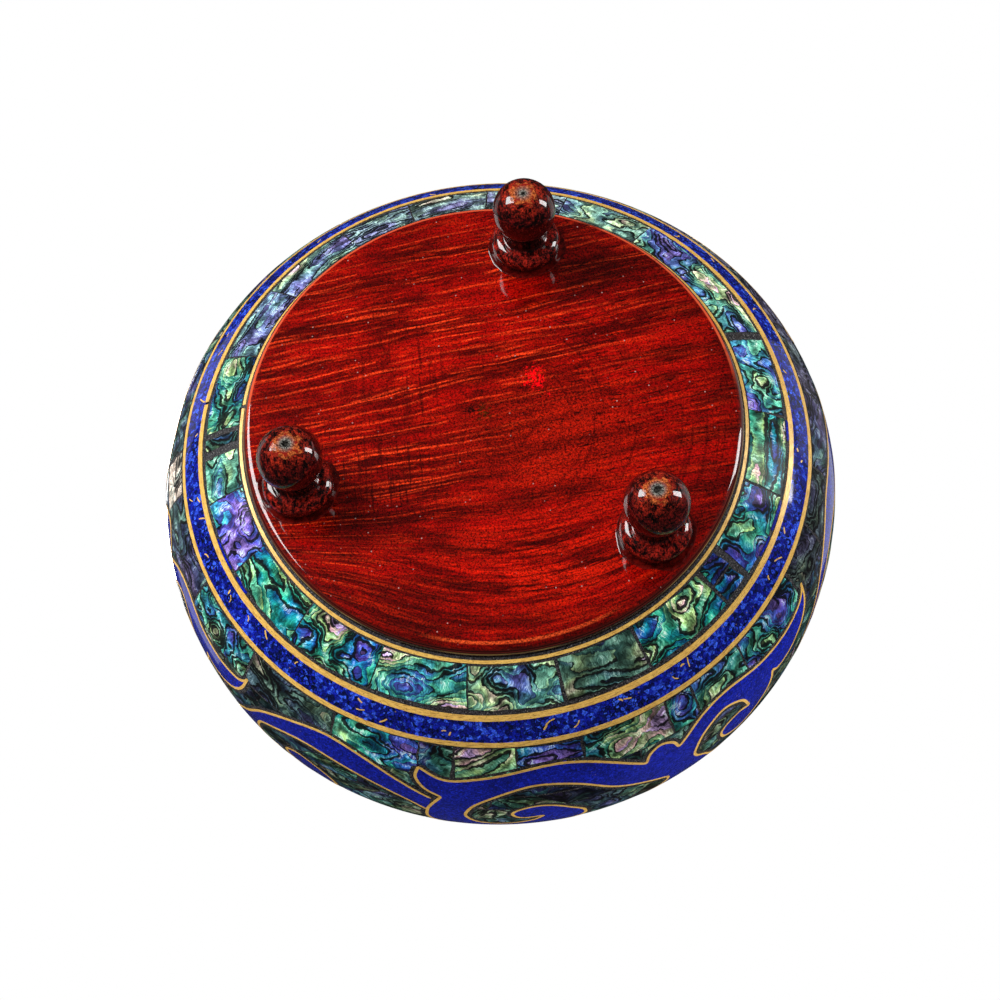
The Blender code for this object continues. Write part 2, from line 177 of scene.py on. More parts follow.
class JewelryBoxColours(bpy.types.PropertyGroup):
    """Colours of the woods, stones, shell and metal"""

    stain: FloatVectorProperty(name="Wood Stain", description="Deep red of the stained wood", subtype="COLOR", size=3,
                               min=0.0, max=1.0, default=(0.205, 0.0018, 0.0005))
    streak: FloatVectorProperty(name="Wood Streak", description="Orange of the streaks in the grain", subtype="COLOR",
                                size=3, min=0.0, max=1.0, default=(0.55, 0.026, 0.0020))
    lapis: FloatVectorProperty(name="Lapis", description="Royal blue of the crushed stone", subtype="COLOR", size=3,
                               min=0.0, max=1.0, default=(0.0035, 0.0105, 0.30))
    brass: FloatVectorProperty(name="Brass", description="Yellow of the brass rings and wires", subtype="COLOR",
                               size=3, min=0.0, max=1.0, default=(0.84, 0.50, 0.13))
    resin: FloatVectorProperty(name="Resin", description="Dark resin around the shell", subtype="COLOR", size=3,
                               min=0.0, max=1.0, default=(0.020, 0.019, 0.021))


class JewelryBoxSizes(bpy.types.PropertyGroup):
    """Sizes of the inlay's small parts"""

    wire_width: FloatProperty(name="Wire Width", description="Width of the brass wire round the scrolls",
                              subtype="DISTANCE", unit="LENGTH", min=0.0003, max=0.0015, default=0.00066)
    tile_thickness: FloatProperty(name="Tile Thickness", description="Thickness of the cut shell",
                                  subtype="DISTANCE", unit="LENGTH", min=0.0005, max=0.002, default=0.0012)
    ring_wander: FloatProperty(name="Ring Wander", description="How far a hand-laid ring strays to either side",
                               subtype="DISTANCE", unit="LENGTH", min=0.0, max=0.0005, default=0.00012)


class JewelryBoxSettings(bpy.types.PropertyGroup):
    """Everything that a user would change on the jewelry box"""

    colours: PointerProperty(name="Colours", description="Colours of the box", type=JewelryBoxColours)
    sizes: PointerProperty(name="Sizes", description="Sizes of the inlay's small parts", type=JewelryBoxSizes)


def colours():
    return bpy.context.scene.jewelry_box.colours


def sizes():
    return bpy.context.scene.jewelry_box.sizes


# Finishes


class Finish:
    """A material under construction: its nodes, short ways to add more of them, and its colour so far."""

    def __init__(self, name, **shader_values):
        self.material = bpy.data.materials.new(name)
        self.material.use_nodes = True
        self.tree = self.material.node_tree
        self.shader = self.tree.nodes["Principled BSDF"]
        self.colour = None
        for socket, value in shader_values.items():
            self.shader.inputs[socket.replace("_", " ")].default_value = value

    def put(self, socket, value):
        """Links a socket to an output, or gives it a value."""
        if isinstance(value, bpy.types.NodeSocket):
            self.tree.links.new(value, socket)
        elif isinstance(value, (tuple, list, Vector)) and socket.type == "RGBA" and len(value) == 3:
            socket.default_value = (*value, 1.0)
        else:
            socket.default_value = value

    def node(self, kind, inputs=(), **settings):
        made = self.tree.nodes.new(kind)
        for key, value in settings.items():
            setattr(made, key, value)
        for key, value in dict(inputs).items():
            self.put(made.inputs[key], value)
        return made

    def maths(self, operation, first, second=0.0):
        return self.node("ShaderNodeMath", {0: first, 1: second}, operation=operation).outputs[0]

    def times(self, first, *others):
        for other in others:
            first = self.maths("MULTIPLY", first, other)
        return first

    def plus(self, first, *others):
        for other in others:
            first = self.maths("ADD", first, other)
        return first

    def minus(self, first, second):
        return self.maths("SUBTRACT", first, second)

    def divided(self, first, second):
        return self.maths("DIVIDE", first, second)

    def vector(self, operation, first, second=(0.0, 0.0, 0.0)):
        made = self.node("ShaderNodeVectorMath", operation=operation)
        self.put(made.inputs[0], first)
        self.put(made.inputs["Scale" if operation == "SCALE" else 1], second)
        return made.outputs["Value" if operation in ("LENGTH", "DOT_PRODUCT", "DISTANCE") else "Vector"]

    def join(self, x, y, z=0.0):
        return self.node("ShaderNodeCombineXYZ", {"X": x, "Y": y, "Z": z}).outputs[0]

    def split(self, vector):
        return self.node("ShaderNodeSeparateXYZ", {"Vector": vector}).outputs

    def noise(self, vector, scale, detail=2.0, roughness=0.5, colour=False):
        made = self.node("ShaderNodeTexNoise", {"Vector": vector, "Scale": scale, "Detail": detail,
                                                "Roughness": roughness})
        return made.outputs["Color" if colour else "Fac"]

    def cells(self, vector, scale, feature="F1", output="Distance"):
        return self.node("ShaderNodeTexVoronoi", {"Vector": vector, "Scale": scale}, feature=feature).outputs[output]

    def ramp(self, share, stops):
        made = self.node("ShaderNodeValToRGB", {"Fac": share})
        band = made.color_ramp
        while len(band.elements) < len(stops):
            band.elements.new(1.0)
        for element, (place, colour) in zip(band.elements, stops):
            element.position = place
            element.color = (*colour, 1.0)
        return made.outputs["Color"]

    def mix(self, share, first, second, blend="MIX"):
        made = self.node("ShaderNodeMix", {0: share, 6: first, 7: second}, data_type="RGBA", blend_type=blend)
        return made.outputs[2]

    def paint(self, paint, *shares):
        """Lays a paint over the colour so far, as strongly as the product of its shares."""
        self.colour = self.mix(self.times(*shares), self.colour, paint)

    def shade(self, share, dark, light, strength=1.0):
        """Multiplies the colour so far by one that goes from dark to light with the share."""
        self.colour = self.mix(strength, self.colour, self.mix(share, dark, light), "MULTIPLY")

    def step(self, value, low, high, to_low=0.0, to_high=1.0):
        """A smooth rise from to_low to to_high while the value goes from low to high."""
        numbers = dict(enumerate((value, low, high, to_low, to_high)))
        return self.node("ShaderNodeMapRange", numbers, interpolation_type="SMOOTHSTEP").outputs[0]

    def turned(self, vector, degrees=0.0, scale=(1.0, 1.0, 1.0), place=(0.0, 0.0, 0.0)):
        made = self.node("ShaderNodeMapping", {"Vector": vector, "Location": place, "Scale": scale,
                                               "Rotation": (0.0, 0.0, math.radians(degrees))})
        return made.outputs[0]

    def place_mm(self):
        """Object coordinates in millimetres."""
        return self.vector("SCALE", self.node("ShaderNodeTexCoord").outputs["Object"], 1.0 / MM)

    def flat_mm(self):
        """The piece's own flat coordinates, in millimetres."""
        return self.node("ShaderNodeUVMap", uv_map="flat").outputs[0]

    def own(self, name):
        """The outputs of one of the piece's own attributes."""
        return self.node("ShaderNodeAttribute", attribute_name=name).outputs

    def done(self, roughness, height, depth, strength):
        """The finished material, with its colour, its roughness and a relief so many millimetres deep."""
        bump = self.node("ShaderNodeBump", {"Height": height, "Distance": depth * MM, "Strength": strength})
        for socket, value in (("Base Color", self.colour), ("Roughness", roughness), ("Normal", bump.outputs[0])):
            self.put(self.shader.inputs[socket], value)
        return self.material


def toned(colour, red, green=None, blue=None):
    """A colour with each part times its own share, or all of them times the first."""
    shares = (red, red if green is None else green, red if blue is None else blue)
    return tuple(min(part * share, 1.0) for part, share in zip(colour, shares))


def lacquered_wood_face():
    """Stained and lacquered face grain of the base disc: streaks, turning arcs, small cracks and a knot.

    Places on the face are in millimetres, as one sees it from below with the far foot at the top.
    """
    f = Finish("lacquered_wood_face", Coat_Weight=1.0, Coat_Roughness=0.05, Specular_IOR_Level=0.02)
    stain, streak, dark_streak = tuple(colours().stain), tuple(colours().streak), (0.030, 0.0004, 0.0003)
    place = f.place_mm()
    seen = f.turned(place, scale=(-1.0, 1.0, 1.0))
    across, up, high = f.split(seen)
    spot_here = f.join(across, up)
    from_middle = f.vector("LENGTH", spot_here)
    wander = f.times(f.minus(f.noise(f.turned(seen, scale=(0.022, 0.05, 0.0)), 1.0, 3.0), 0.5), 5.0)
    beside = f.maths("ABSOLUTE", f.minus(across, 4.0))
    bow = f.times(f.maths("POWER", beside, 2.0), f.step(up, -16.0, -42.0, 0.0, 0.0085))
    lean = f.times(across, f.step(up, -30.0, 5.0, 0.03, 0.11))
    level = f.plus(f.minus(f.minus(up, lean), bow), wander)

    def grain(length, width, seed, detail=2.0):
        """Streaks about this long and this wide."""
        return f.noise(f.join(f.divided(across, length), f.divided(level, width), seed), 1.0, detail, 0.6)

    def near(spot, reach, soft=0.4):
        """One within an ellipse about a spot of the face as seen, falling off to nothing at its edge."""
        middle = (-spot[0] / reach[0], -spot[1] / reach[1], 0.0)
        inside = f.turned(seen, scale=(1.0 / reach[0], 1.0 / reach[1], 0.0), place=middle)
        return f.step(f.vector("LENGTH", inside), 1.0, soft)

    speckle = f.noise(place, 2.1, 4.0, 0.85)
    cloud = f.noise(place, 0.06, 4.0, 0.65)
    broad, middle, fine = grain(46, 5.0, 3.0), grain(20, 1.5, 7.0), grain(9, 0.6, 11.0)
    hair = grain(5, 0.32, 17.0)
    upper_left = f.step(f.minus(up, f.times(across, 0.8)), -22.0, 12.0)
    low = f.step(up, -20.0, -38.0)
    f.colour = f.mix(f.step(f.plus(broad, f.times(cloud, 0.7)), 0.68, 1.02), toned(stain, 0.36), toned(stain, 1.45))
    f.paint(streak, f.step(middle, 0.50, 0.72), 0.42)
    f.paint(dark_streak, f.step(fine, 0.48, 0.30), 0.70)
    f.paint(streak, f.step(fine, 0.56, 0.70), 0.50)
    f.paint(dark_streak, f.step(hair, 0.47, 0.34), 0.45)
    # Bright thin strokes in even lanes, broken along their length, clearest in the upper left
    for spacing, seed, depth in ((2.5, 19.0, 0.95), (1.7, 37.0, 0.55)):
        lane = f.plus(f.divided(level, spacing), f.times(grain(60, 9.0, seed, 1.0), 2.2))
        apart = f.maths("ABSOLUTE", f.minus(f.maths("FRACT", lane), 0.5))
        apart = f.times(apart, spacing)
        kept = f.noise(f.join(f.divided(across, 22.0), f.times(f.maths("FLOOR", lane), 7.3), seed), 1.0, 2.0)
        shine = f.times(f.step(apart, 0.34, 0.07), f.step(kept, 0.50, 0.58))
        shine = f.times(shine, f.plus(0.10, f.times(upper_left, 0.85)))
        f.paint((0.72, 0.070, 0.012), shine, depth)
    # The smooth, browner area right of the middle
    pool = f.times(near((12.0, -6.0), (29.0, 22.0), 0.25), f.step(cloud, 0.25, 0.55, 0.45, 1.0))
    brown = f.mix(f.step(f.plus(f.times(broad, 0.5), f.times(speckle, 0.5)), 0.40, 0.62), (0.105, 0.0030, 0.0006),
                  (0.34, 0.014, 0.0018))
    f.paint(brown, pool, 0.66)
    # Turning arcs of the lower part
    reach = f.vector("LENGTH", f.vector("SUBTRACT", spot_here, (4.0, 22.0, 0.0)))
    turning = f.noise(f.join(f.times(reach, 0.55), f.times(across, 0.035), 5.0), 1.0, 4.0, 0.75)
    lit = f.times(near((8.0, -37.0), (34.0, 17.0), 0.1), f.step(turning, 0.46, 0.60))
    f.paint((0.68, 0.020, 0.0020), lit, 0.85)
    f.paint((0.050, 0.0006, 0.0004), f.step(turning, 0.49, 0.36), low, 0.80)
    # A bright orange line along the near edge, and faint dark rings, mostly on the right
    bright_edge_line = f.maths("ABSOLUTE", f.minus(from_middle, 55.4))
    bright_edge_line = f.times(f.step(bright_edge_line, 0.55, 0.15), near((2.0, -56.0), (26.0, 14.0), 0.55))
    f.paint((0.90, 0.17, 0.035), bright_edge_line, 0.9)
    rings = f.noise(f.join(f.times(from_middle, 0.9), f.times(up, 0.03), 9.0), 1.0, 1.0)
    faint = f.times(f.step(rings, 0.58, 0.70), f.step(across, -20.0, 25.0, 0.15, 0.50))
    f.paint((0.050, 0.0008, 0.0005), faint)
    # Short dark cracks, mostly on the right
    right = f.step(across, -12.0, 26.0, 0.25, 1.0)
    crack = f.times(f.step(grain(4.6, 0.50, 41.0, 1.0), 0.625, 0.69), right)
    f.paint((0.006, 0.0004, 0.0004), crack, 0.92)
    # Fine slanting scratches, lower left, and faint upright lines, upper left
    scratches = ((38.0, 1.5, (-24.0, -12.0), (24.0, 15.0), 0.70), (3.0, 0.60, (-20.0, 14.0), (15.0, 17.0), 0.60))
    for degrees, across_scale, spot, reach, depth in scratches:
        lines = f.noise(f.turned(seen, degrees=degrees, scale=(across_scale, 0.05, 0.0)), 1.0, 2.0, 0.6)
        mask = f.times(f.step(lines, 0.53, 0.64), near(spot, reach))
        f.paint((0.034, 0.0006, 0.0005), mask, depth)
    # A bright red blotch in pieces, and an olive knot in the middle
    ragged = f.times(f.minus(f.noise(place, 0.70, 5.0, 0.8), 0.5), 15.0)
    bits = f.step(f.noise(place, 1.25, 3.0, 0.7), 0.45, 0.53)
    spots = (((10.8, 9.6, 0.0), 2.9, (0.85, 0.0, 0.006)), ((13.8, 5.0, 0.0), 0.5, (0.70, 0.0, 0.006)),
             ((8.6, 7.0, 0.0), 0.4, (0.55, 0.0, 0.006)), ((-1.6, 2.2, 0.0), 2.3, (0.050, 0.018, 0.001)),
             ((-4.6, 2.6, 0.0), 1.8, (0.008, 0.001, 0.0005)))
    for spot, reach, paint in spots:
        apart = f.plus(f.vector("DISTANCE", spot_here, spot), ragged)
        f.paint(paint, f.step(apart, reach, reach - 1.4), bits, 0.95)
    # Painted shadow beside the far foot and the left foot, and darker toward the edge
    for spot, reach, depth in (((26.0, 36.0), (22.0, 13.0), 0.66), ((-33.0, -24.0), (15.0, 10.0), 0.55)):
        f.paint((0.020, 0.0004, 0.0003), near(spot, reach, 0.2), depth)
    f.paint((0.045, 0.0006, 0.0004), f.step(from_middle, 44.0, 57.0), 0.30)
    f.shade(f.step(speckle, 0.36, 0.62), (0.15, 0.05, 0.06), (1.76, 1.00, 0.88))
    # Dust under the lacquer
    dust = f.cells(place, 0.42)
    dusty = f.step(f.noise(place, 0.11, 2.0), 0.42, 0.6)
    f.paint((0.42, 0.24, 0.22), f.step(dust, 0.09, 0.05), dusty)
    # The rounded side is darker, with fine turned lines, and down to grit by the brass ring
    above_face = f.minus(high, DISC_FACE_Z)
    lines = f.noise(f.join(f.times(high, 3.4), f.times(from_middle, 1.4), 2.0), 1.0, 3.0, 0.7)
    side = f.mix(f.step(lines, 0.42, 0.66), (0.022, 0.0016, 0.0012), (0.135, 0.016, 0.010))
    f.paint(side, f.step(above_face, 0.10, 0.75))
    # Painted highlight: a thin orange line where the far side turns down
    bright_edge_line = f.times(f.step(above_face, 0.10, 0.22), f.step(up, 0.0, 14.0))
    bright_edge_line = f.times(bright_edge_line, f.step(above_face, 0.62, 0.46))
    f.paint((0.62, 0.085, 0.030), bright_edge_line, f.step(cloud, 0.30, 0.45))
    dirt = f.mix(f.step(speckle, 0.45, 0.60), (0.004, 0.003, 0.003), (0.075, 0.055, 0.050))
    f.paint(dirt, f.step(above_face, 1.1, 1.7))
    tan = f.times(f.step(above_face, 1.25, 1.40), f.step(above_face, 1.75, 1.60))
    f.paint((0.26, 0.15, 0.05), tan, f.step(f.noise(place, 0.06, 2.0), 0.40, 0.56))
    uneven = f.plus(f.noise(place, 0.35, 3.0), f.times(fine, 0.5))
    return f.done(f.step(fine, 0.3, 0.7, 0.50, 0.38), uneven, 0.10, 0.35)


def lacquered_turnings():
    """Dark lacquer on the turned feet, with painted light that makes it redder toward the ball's end; the end is raw,
    rubbed bare and has a small hole.
    """
    f = Finish("lacquered_turnings", Coat_Weight=1.0, Coat_Roughness=0.03, Specular_IOR_Level=0.03)
    place = f.place_mm()
    _, _, high = f.split(place)
    rings = f.noise(f.turned(place, degrees=20.0, scale=(0.8, 0.55, 0.9)), 1.0, 4.0, 0.7)
    f.colour = f.mix(f.step(rings, 0.36, 0.66), (0.0035, 0.0006, 0.0008), (0.040, 0.0020, 0.0022))
    lit = f.step(rings, 0.42, 0.66)
    # Painted light: the lighter rings turn redder toward the ball's end
    f.paint((0.115, 0.0036, 0.0026), f.step(high, 6.5, 2.0), lit)
    f.paint((0.300, 0.0180, 0.0060), f.step(high, 2.6, 0.8), lit)
    # Painted light makes the collar's shoulder redder; painted shade darkens the cove and under the bead
    shoulder = f.times(f.step(high, 16.9, 18.0), f.step(high, 20.3, 19.2))
    f.paint((0.300, 0.0120, 0.0060), shoulder, lit)
    hidden = f.maths("MAXIMUM", f.times(f.step(high, 12.0, 13.5), f.step(high, 17.4, 16.6)), f.step(high, 20.2, 20.9))
    f.paint((0.004, 0.0006, 0.0006), hidden, 0.85)
    grit = f.noise(place, 2.4, 4.0, 0.8)
    f.shade(f.step(grit, 0.40, 0.62), (0.16, 0.16, 0.16), (2.0, 2.0, 2.0))
    threads = f.noise(f.turned(place, degrees=-25.0, scale=(2.2, 0.5, 0.9)), 1.0, 2.0)
    f.paint((0.36, 0.022, 0.006), f.step(threads, 0.61, 0.69), 0.40)
    # The raw end, ragged where the lacquer wore off
    ragged = f.times(f.minus(f.noise(place, 0.45, 4.0, 0.65), 0.5), 2.6)
    bare = f.step(f.plus(high, ragged), 0.47, 0.27)
    grain = f.noise(place, 2.2, 4.0, 0.8)
    raw = f.mix(f.step(grain, 0.40, 0.62), (0.07, 0.007, 0.003), (0.66, 0.150, 0.035))
    raw = f.mix(f.step(f.noise(place, 0.8, 2.0), 0.50, 0.60), raw, (0.24, 0.012, 0.006))
    f.paint(raw, bare)
    # The hole in the end
    hollow = f.own("hollow")["Fac"]
    f.paint(f.mix(f.step(grain, 0.42, 0.60), (0.012, 0.012, 0.011), (0.26, 0.25, 0.22)), hollow)
    coat = f.times(f.minus(1.0, f.times(bare, 0.75)), f.minus(1.0, hollow))
    f.put(f.shader.inputs["Coat Weight"], coat)
    lumps = f.plus(f.noise(place, 0.7, 3.0), f.times(f.noise(place, 1.9, 2.0), 0.35))
    return f.done(f.plus(0.35, f.times(bare, 0.35)), f.plus(lumps, f.times(grain, bare, 1.5)), 0.34, 0.5)


def poured_lacquer():
    """Thick dark lacquer that pooled round each foot."""
    f = Finish("poured_lacquer", Coat_Weight=0.9, Coat_Roughness=0.03, Specular_IOR_Level=0.03)
    clots = f.noise(f.place_mm(), 0.7, 3.0, 0.6)
    f.colour = f.mix(f.step(clots, 0.36, 0.66), (0.030, 0.0014, 0.0012), (0.120, 0.0040, 0.0025))
    return f.done(f.step(clots, 0.3, 0.7, 0.12, 0.3), clots, 0.35, 0.6)


def stained_inside():
    """Plain red-brown stain on the bowl and under the lid, with the grain of turned wood."""
    f = Finish("stained_inside", Coat_Weight=0.25, Coat_Roughness=0.3)
    place = f.place_mm()
    grain = f.noise(f.turned(place, degrees=7.0, scale=(0.05, 0.9, 0.12)), 1.0, 4.0, 0.6)
    pores = f.noise(f.turned(place, degrees=7.0, scale=(0.3, 4.0, 1.2)), 1.0, 2.0)
    f.colour = f.mix(f.step(grain, 0.35, 0.66), (0.085, 0.010, 0.005), (0.24, 0.042, 0.016))
    f.paint((0.03, 0.005, 0.003), f.step(pores, 0.60, 0.70), 0.6)
    return f.done(f.step(grain, 0.3, 0.7, 0.55, 0.42), pores, 0.08, 0.5)


def brushed_brass():
    """Brass polished flush with the inlay: cross-brushed, with small dark pits."""
    f = Finish("brushed_brass", Metallic=0.10, Specular_IOR_Level=0.6)
    place = f.place_mm()
    brush = f.noise(f.turned(f.flat_mm(), degrees=24.0, scale=(0.5, 5.0, 0.0)), 1.0, 3.0, 0.7)
    cloud = f.noise(place, 0.5, 3.0, 0.6)
    base = toned(colours().brass, 1.0, 0.98, 0.80)
    f.colour = f.mix(f.step(cloud, 0.35, 0.68), base, toned(base, 1.12, 1.20, 1.30))
    f.paint(toned(base, 0.46, 0.36, 0.22), f.step(brush, 0.54, 0.34), 0.95)
    f.paint((0.10, 0.05, 0.015), f.step(f.noise(place, 3.2, 2.0), 0.62, 0.70), 0.7)
    return f.done(f.step(brush, 0.3, 0.7, 0.42, 0.26), brush, 0.03, 0.5)


def crushed_lapis(name, chip, contrast, gold, pale_chips):
    """Lapis chips in dark resin. chip is a chip's size in millimetres, and contrast is how much the chips differ.

    gold is how clearly the gold specks show, and pale_chips how much lighter the palest chips are.
    """
    f = Finish(name, Coat_Weight=0.9, Coat_Roughness=0.07, Specular_IOR_Level=0.05)
    place = f.place_mm()
    base = tuple(colours().lapis)
    navy = (0.0015, 0.0040, base[2] * 0.10)
    bright = (base[0] * 2.0 + pale_chips, base[1] * 2.0 + pale_chips * 3.0, min(base[2] * 2.3, 1.0))
    stirred = f.vector("ADD", place, f.vector("SCALE", f.noise(place, 0.8, 2.0, colour=True), 0.7))
    kind = f.split(f.cells(stirred, 1.0 / chip, output="Color"))[0]
    f.colour = f.ramp(kind, ((0.0, navy), (0.30, toned(base, 0.6)), (0.62, base), (1.0, bright)))
    f.paint(base, 1.0 - contrast)
    edge = f.cells(stirred, 1.0 / chip, feature="DISTANCE_TO_EDGE")
    pale = f.step(f.noise(place, 0.14, 3.0), 0.35, 0.65)
    f.paint((0.001, 0.002, 0.014), pale, contrast, f.step(edge, 0.15, 0.03))
    dust = f.noise(place, 2.6, 3.0, 0.7)
    f.shade(f.step(dust, 0.32, 0.68), (0.06, 0.06, 0.06), (2.2, 2.2, 2.2), 0.6 * contrast + 0.2)
    specks = f.cells(place, 0.62)
    wanted = f.step(f.noise(place, 0.2, 2.0), 0.5, 0.6)
    f.paint((0.45, 0.30, 0.08), wanted, gold, f.step(specks, 0.12, 0.07))
    return f.done(f.step(kind, 0.0, 1.0, 0.42, 0.28), f.plus(edge, dust), 0.04, 0.4)


def gritty_resin():
    """Dark grey resin full of fine light and dark grit."""
    f = Finish("gritty_resin", Specular_IOR_Level=0.15)
    place = f.place_mm()
    base = tuple(colours().resin)
    grit = f.noise(place, 2.6, 4.0, 0.85)
    f.colour = f.mix(f.step(grit, 0.42, 0.62), toned(base, 0.12), toned(base, 3.6))
    f.paint((0.36, 0.34, 0.31), f.step(f.cells(place, 1.7), 0.22, 0.12), 0.65)
    f.paint((0.035, 0.026, 0.020), f.step(f.noise(place, 0.25, 3.0), 0.5, 0.7), 0.4)
    return f.done(f.step(grit, 0.3, 0.7, 0.6, 0.42), grit, 0.10, 0.5)


def polished_shell():
    """Abalone: wavy layers of changing colour, parted by thin black growth lines and crossed by fine striations.

    Each piece of shell carries its own look: red shifts its colours, green is its brightness, blue how pale and
    milky it is, and alpha how strongly its layers run along the piece.
    """
    f = Finish("polished_shell", Coat_Weight=0.10, Coat_Roughness=0.08, Specular_IOR_Level=0.03)
    flat = f.flat_mm()
    look = f.own("shell")
    shift, brightness, milk = f.split(look["Vector"])
    layered = look["Alpha"]
    ripple = f.vector("SUBTRACT", f.noise(flat, 0.50, 2.0, 0.55, colour=True), (0.5, 0.5, 0.5))
    warped = f.vector("ADD", flat, f.vector("SCALE", ripple, 2.2))
    along, over, _ = f.split(warped)
    squeeze = f.step(layered, 0.0, 1.2, 1.0, 0.24)
    rise = f.step(layered, 0.0, 1.2, 0.85, 1.25)

    def growth(x_more, y_more):
        """The shell's growth at a point beside this one, from which its lines and colours come."""
        spot = f.join(f.times(f.plus(along, x_more), squeeze), f.times(f.plus(over, y_more), rise))
        return f.noise(spot, 0.115, 1.0, 0.45)

    # How steep the growth is at each point, so that the lines keep their width in millimetres
    nudge, lines = 0.15, 15.0
    here = growth(0.0, 0.0)
    steep = f.vector("LENGTH", f.join(f.minus(growth(nudge, 0.0), here), f.minus(growth(0.0, nudge), here)))
    steep = f.plus(f.divided(steep, nudge), 0.006)

    def from_line(phase, count):
        """Distance in millimetres from the nearest line, where the phase reaches a whole number."""
        apart = f.minus(0.5, f.maths("ABSOLUTE", f.minus(f.maths("FRACT", phase), 0.5)))
        return f.divided(apart, f.times(steep, count))

    phase = f.times(here, lines)
    share = f.maths("FRACT", phase)
    # Black growth lines of uneven width, which fade out in places, and faint ones between them
    wanted = f.noise(f.join(f.times(along, squeeze), over, f.maths("FLOOR", f.plus(phase, 0.5))), 0.16, 1.0)
    width = f.step(wanted, 0.38, 0.60, 0.0, 0.32)
    contour = f.times(f.step(from_line(phase, lines), f.plus(width, 0.07), width), f.step(wanted, 0.38, 0.42))
    faint = f.step(from_line(f.times(here, lines * 3.0), lines * 3.0), 0.12, 0.03)
    # Colour: bands that follow the growth, over a slow drift
    drift = f.noise(warped, 0.085, 2.0, 0.5)
    tone = f.plus(f.times(f.minus(here, 0.5), 1.5), f.times(f.minus(drift, 0.5), 1.25))
    tone = f.plus(tone, f.times(share, -0.24), f.plus(shift, 0.62))
    iridescence = f.ramp(tone, ((0.0, (0.22, 0.13, 0.50)), (0.14, (0.055, 0.045, 0.42)), (0.28, (0.006, 0.10, 0.40)),
                                (0.40, (0.002, 0.25, 0.33)), (0.52, (0.012, 0.30, 0.19)), (0.64, (0.10, 0.38, 0.23)),
                                (0.75, (0.30, 0.52, 0.17)), (0.85, (0.56, 0.56, 0.36)), (0.93, (0.55, 0.30, 0.32)),
                                (1.0, (0.34, 0.22, 0.46))))
    grey = f.ramp(tone, ((0.30, (0.27, 0.25, 0.38)), (0.70, (0.33, 0.42, 0.36)), (0.90, (0.56, 0.46, 0.38))))
    f.colour = f.mix(milk, iridescence, grey)
    fibre = f.noise(f.turned(warped, degrees=12.0, scale=(2.6, 0.30, 0.0)), 1.0, 3.0, 0.7)
    sheen = f.noise(f.turned(warped, degrees=-12.0, scale=(0.24, 0.34, 0.0)), 1.0, 2.0, 0.55)
    light = f.times(f.step(fibre, 0.32, 0.70, 0.42, 1.55), f.step(sheen, 0.34, 0.66, 0.30, 1.70))
    light = f.times(light, f.step(share, 0.0, 1.0, 1.40, 0.52))
    f.colour = f.vector("SCALE", f.colour, f.times(light, brightness))
    glint = f.times(f.step(sheen, 0.52, 0.66), f.step(fibre, 0.46, 0.62))
    f.paint((0.74, 0.95, 0.84), brightness, 0.80, glint)
    soot = f.step(f.noise(warped, 0.40, 3.0, 0.7), 0.64, 0.72)
    dark = f.maths("MAXIMUM", contour, f.maths("MAXIMUM", f.times(faint, 0.50), f.times(soot, 0.80)))
    f.paint((0.005, 0.005, 0.006), dark, 0.96)
    return f.done(f.step(sheen, 0.3, 0.7, 0.42, 0.28), f.minus(f.times(fibre, 0.6), dark), 0.06, 0.5)


FINISHES = {}


def finish(name):
    """One of the box's finishes, all of which are made when the first is asked for."""
    if not FINISHES:
        FINISHES.update(wood_face=lacquered_wood_face(), turnings=lacquered_turnings(), pooled=poured_lacquer(),
                        inside=stained_inside(), brass=brushed_brass(), resin=gritty_resin(), shell=polished_shell(),
                        lapis_band=crushed_lapis("crushed_lapis_coarse", 0.85, 1.0, 0.5, 0.026),
                        lapis_fine=crushed_lapis("crushed_lapis_fine", 0.5, 0.50, 0.30, 0.003))
    return FINISHES[name]


# Shaping

# Distances within which points are merged: on the box's rings and turned shapes in metres, on a flat plate in mm
RING_MERGE, TURNED_MERGE, PLATE_MERGE = 0.01 * MM, 0.002 * MM, 0.004
# How often a ring's slow sway and its quick swelling change round the box, and how much of its wander each is
SWAY_TURNS, SWAY, SWELL_TURNS, SWELL = 2.2, 1.6, 9.0, 0.8
# How fast a sawn edge changes along a piece of shell, a millimetre, the seed of its noise, and how far apart the
# pieces' patterns lie
SAW_CHANGE, SAW_SEED, PATTERN_REACH = 0.45, 8, 900.0
# What part of its width a wire keeps at its ends, and the cells of a plate, in degrees and millimetres
WIRE_END, PLATE_CELL = 0.60, (1.5, 1.6)
# How high each layer's top lies over the polished skin, and how thick it is, in millimetres
BRASS_LAYER, WIRE_LAYER, SHAVING_LAYER = (0.0, 1.2), (0.0, 0.7), (-0.02, 0.3)
STONE_LAYER, SLIP_LAYER, LAPIS_FILL = (-0.03, 0.6), (-0.03, 0.4), (-0.05, 2.0)
ROW_LAYER, COURSE_LAYER, MARGIN_LAYER = (-0.065, 0.8), (-0.07, 0.8), (-0.05, 0.4)
TILE_BED, GROOVE_FILL, BELLY_BED, LID_BED = (-0.14, 1.9), (-0.10, 1.0), (-0.12, 2.2), (-0.12, 2.0)
TILE_TOP, MARGIN_WIDTH = -0.02, 2.6


def round_noise(turn, changes, seed):
    """Smooth noise that changes so often round a circle and closes up on itself."""
    return noise.noise((changes * math.cos(turn), changes * math.sin(turn), seed))


def new_object(name, data):
    made = bpy.data.objects.new(name, data)
    bpy.context.scene.collection.objects.link(made)
    return made


def mesh_of(bm, name):
    """The mesh of a bmesh, which is freed."""
    mesh = bpy.data.meshes.new(name)
    bm.to_mesh(mesh)
    bm.free()
    return mesh


def new_flat():
    """An empty bmesh with the layers that every inlaid piece carries."""
    bm = bmesh.new()
    bm.loops.layers.uv.new("flat")
    bm.verts.layers.float_color.new("shell")
    return bm


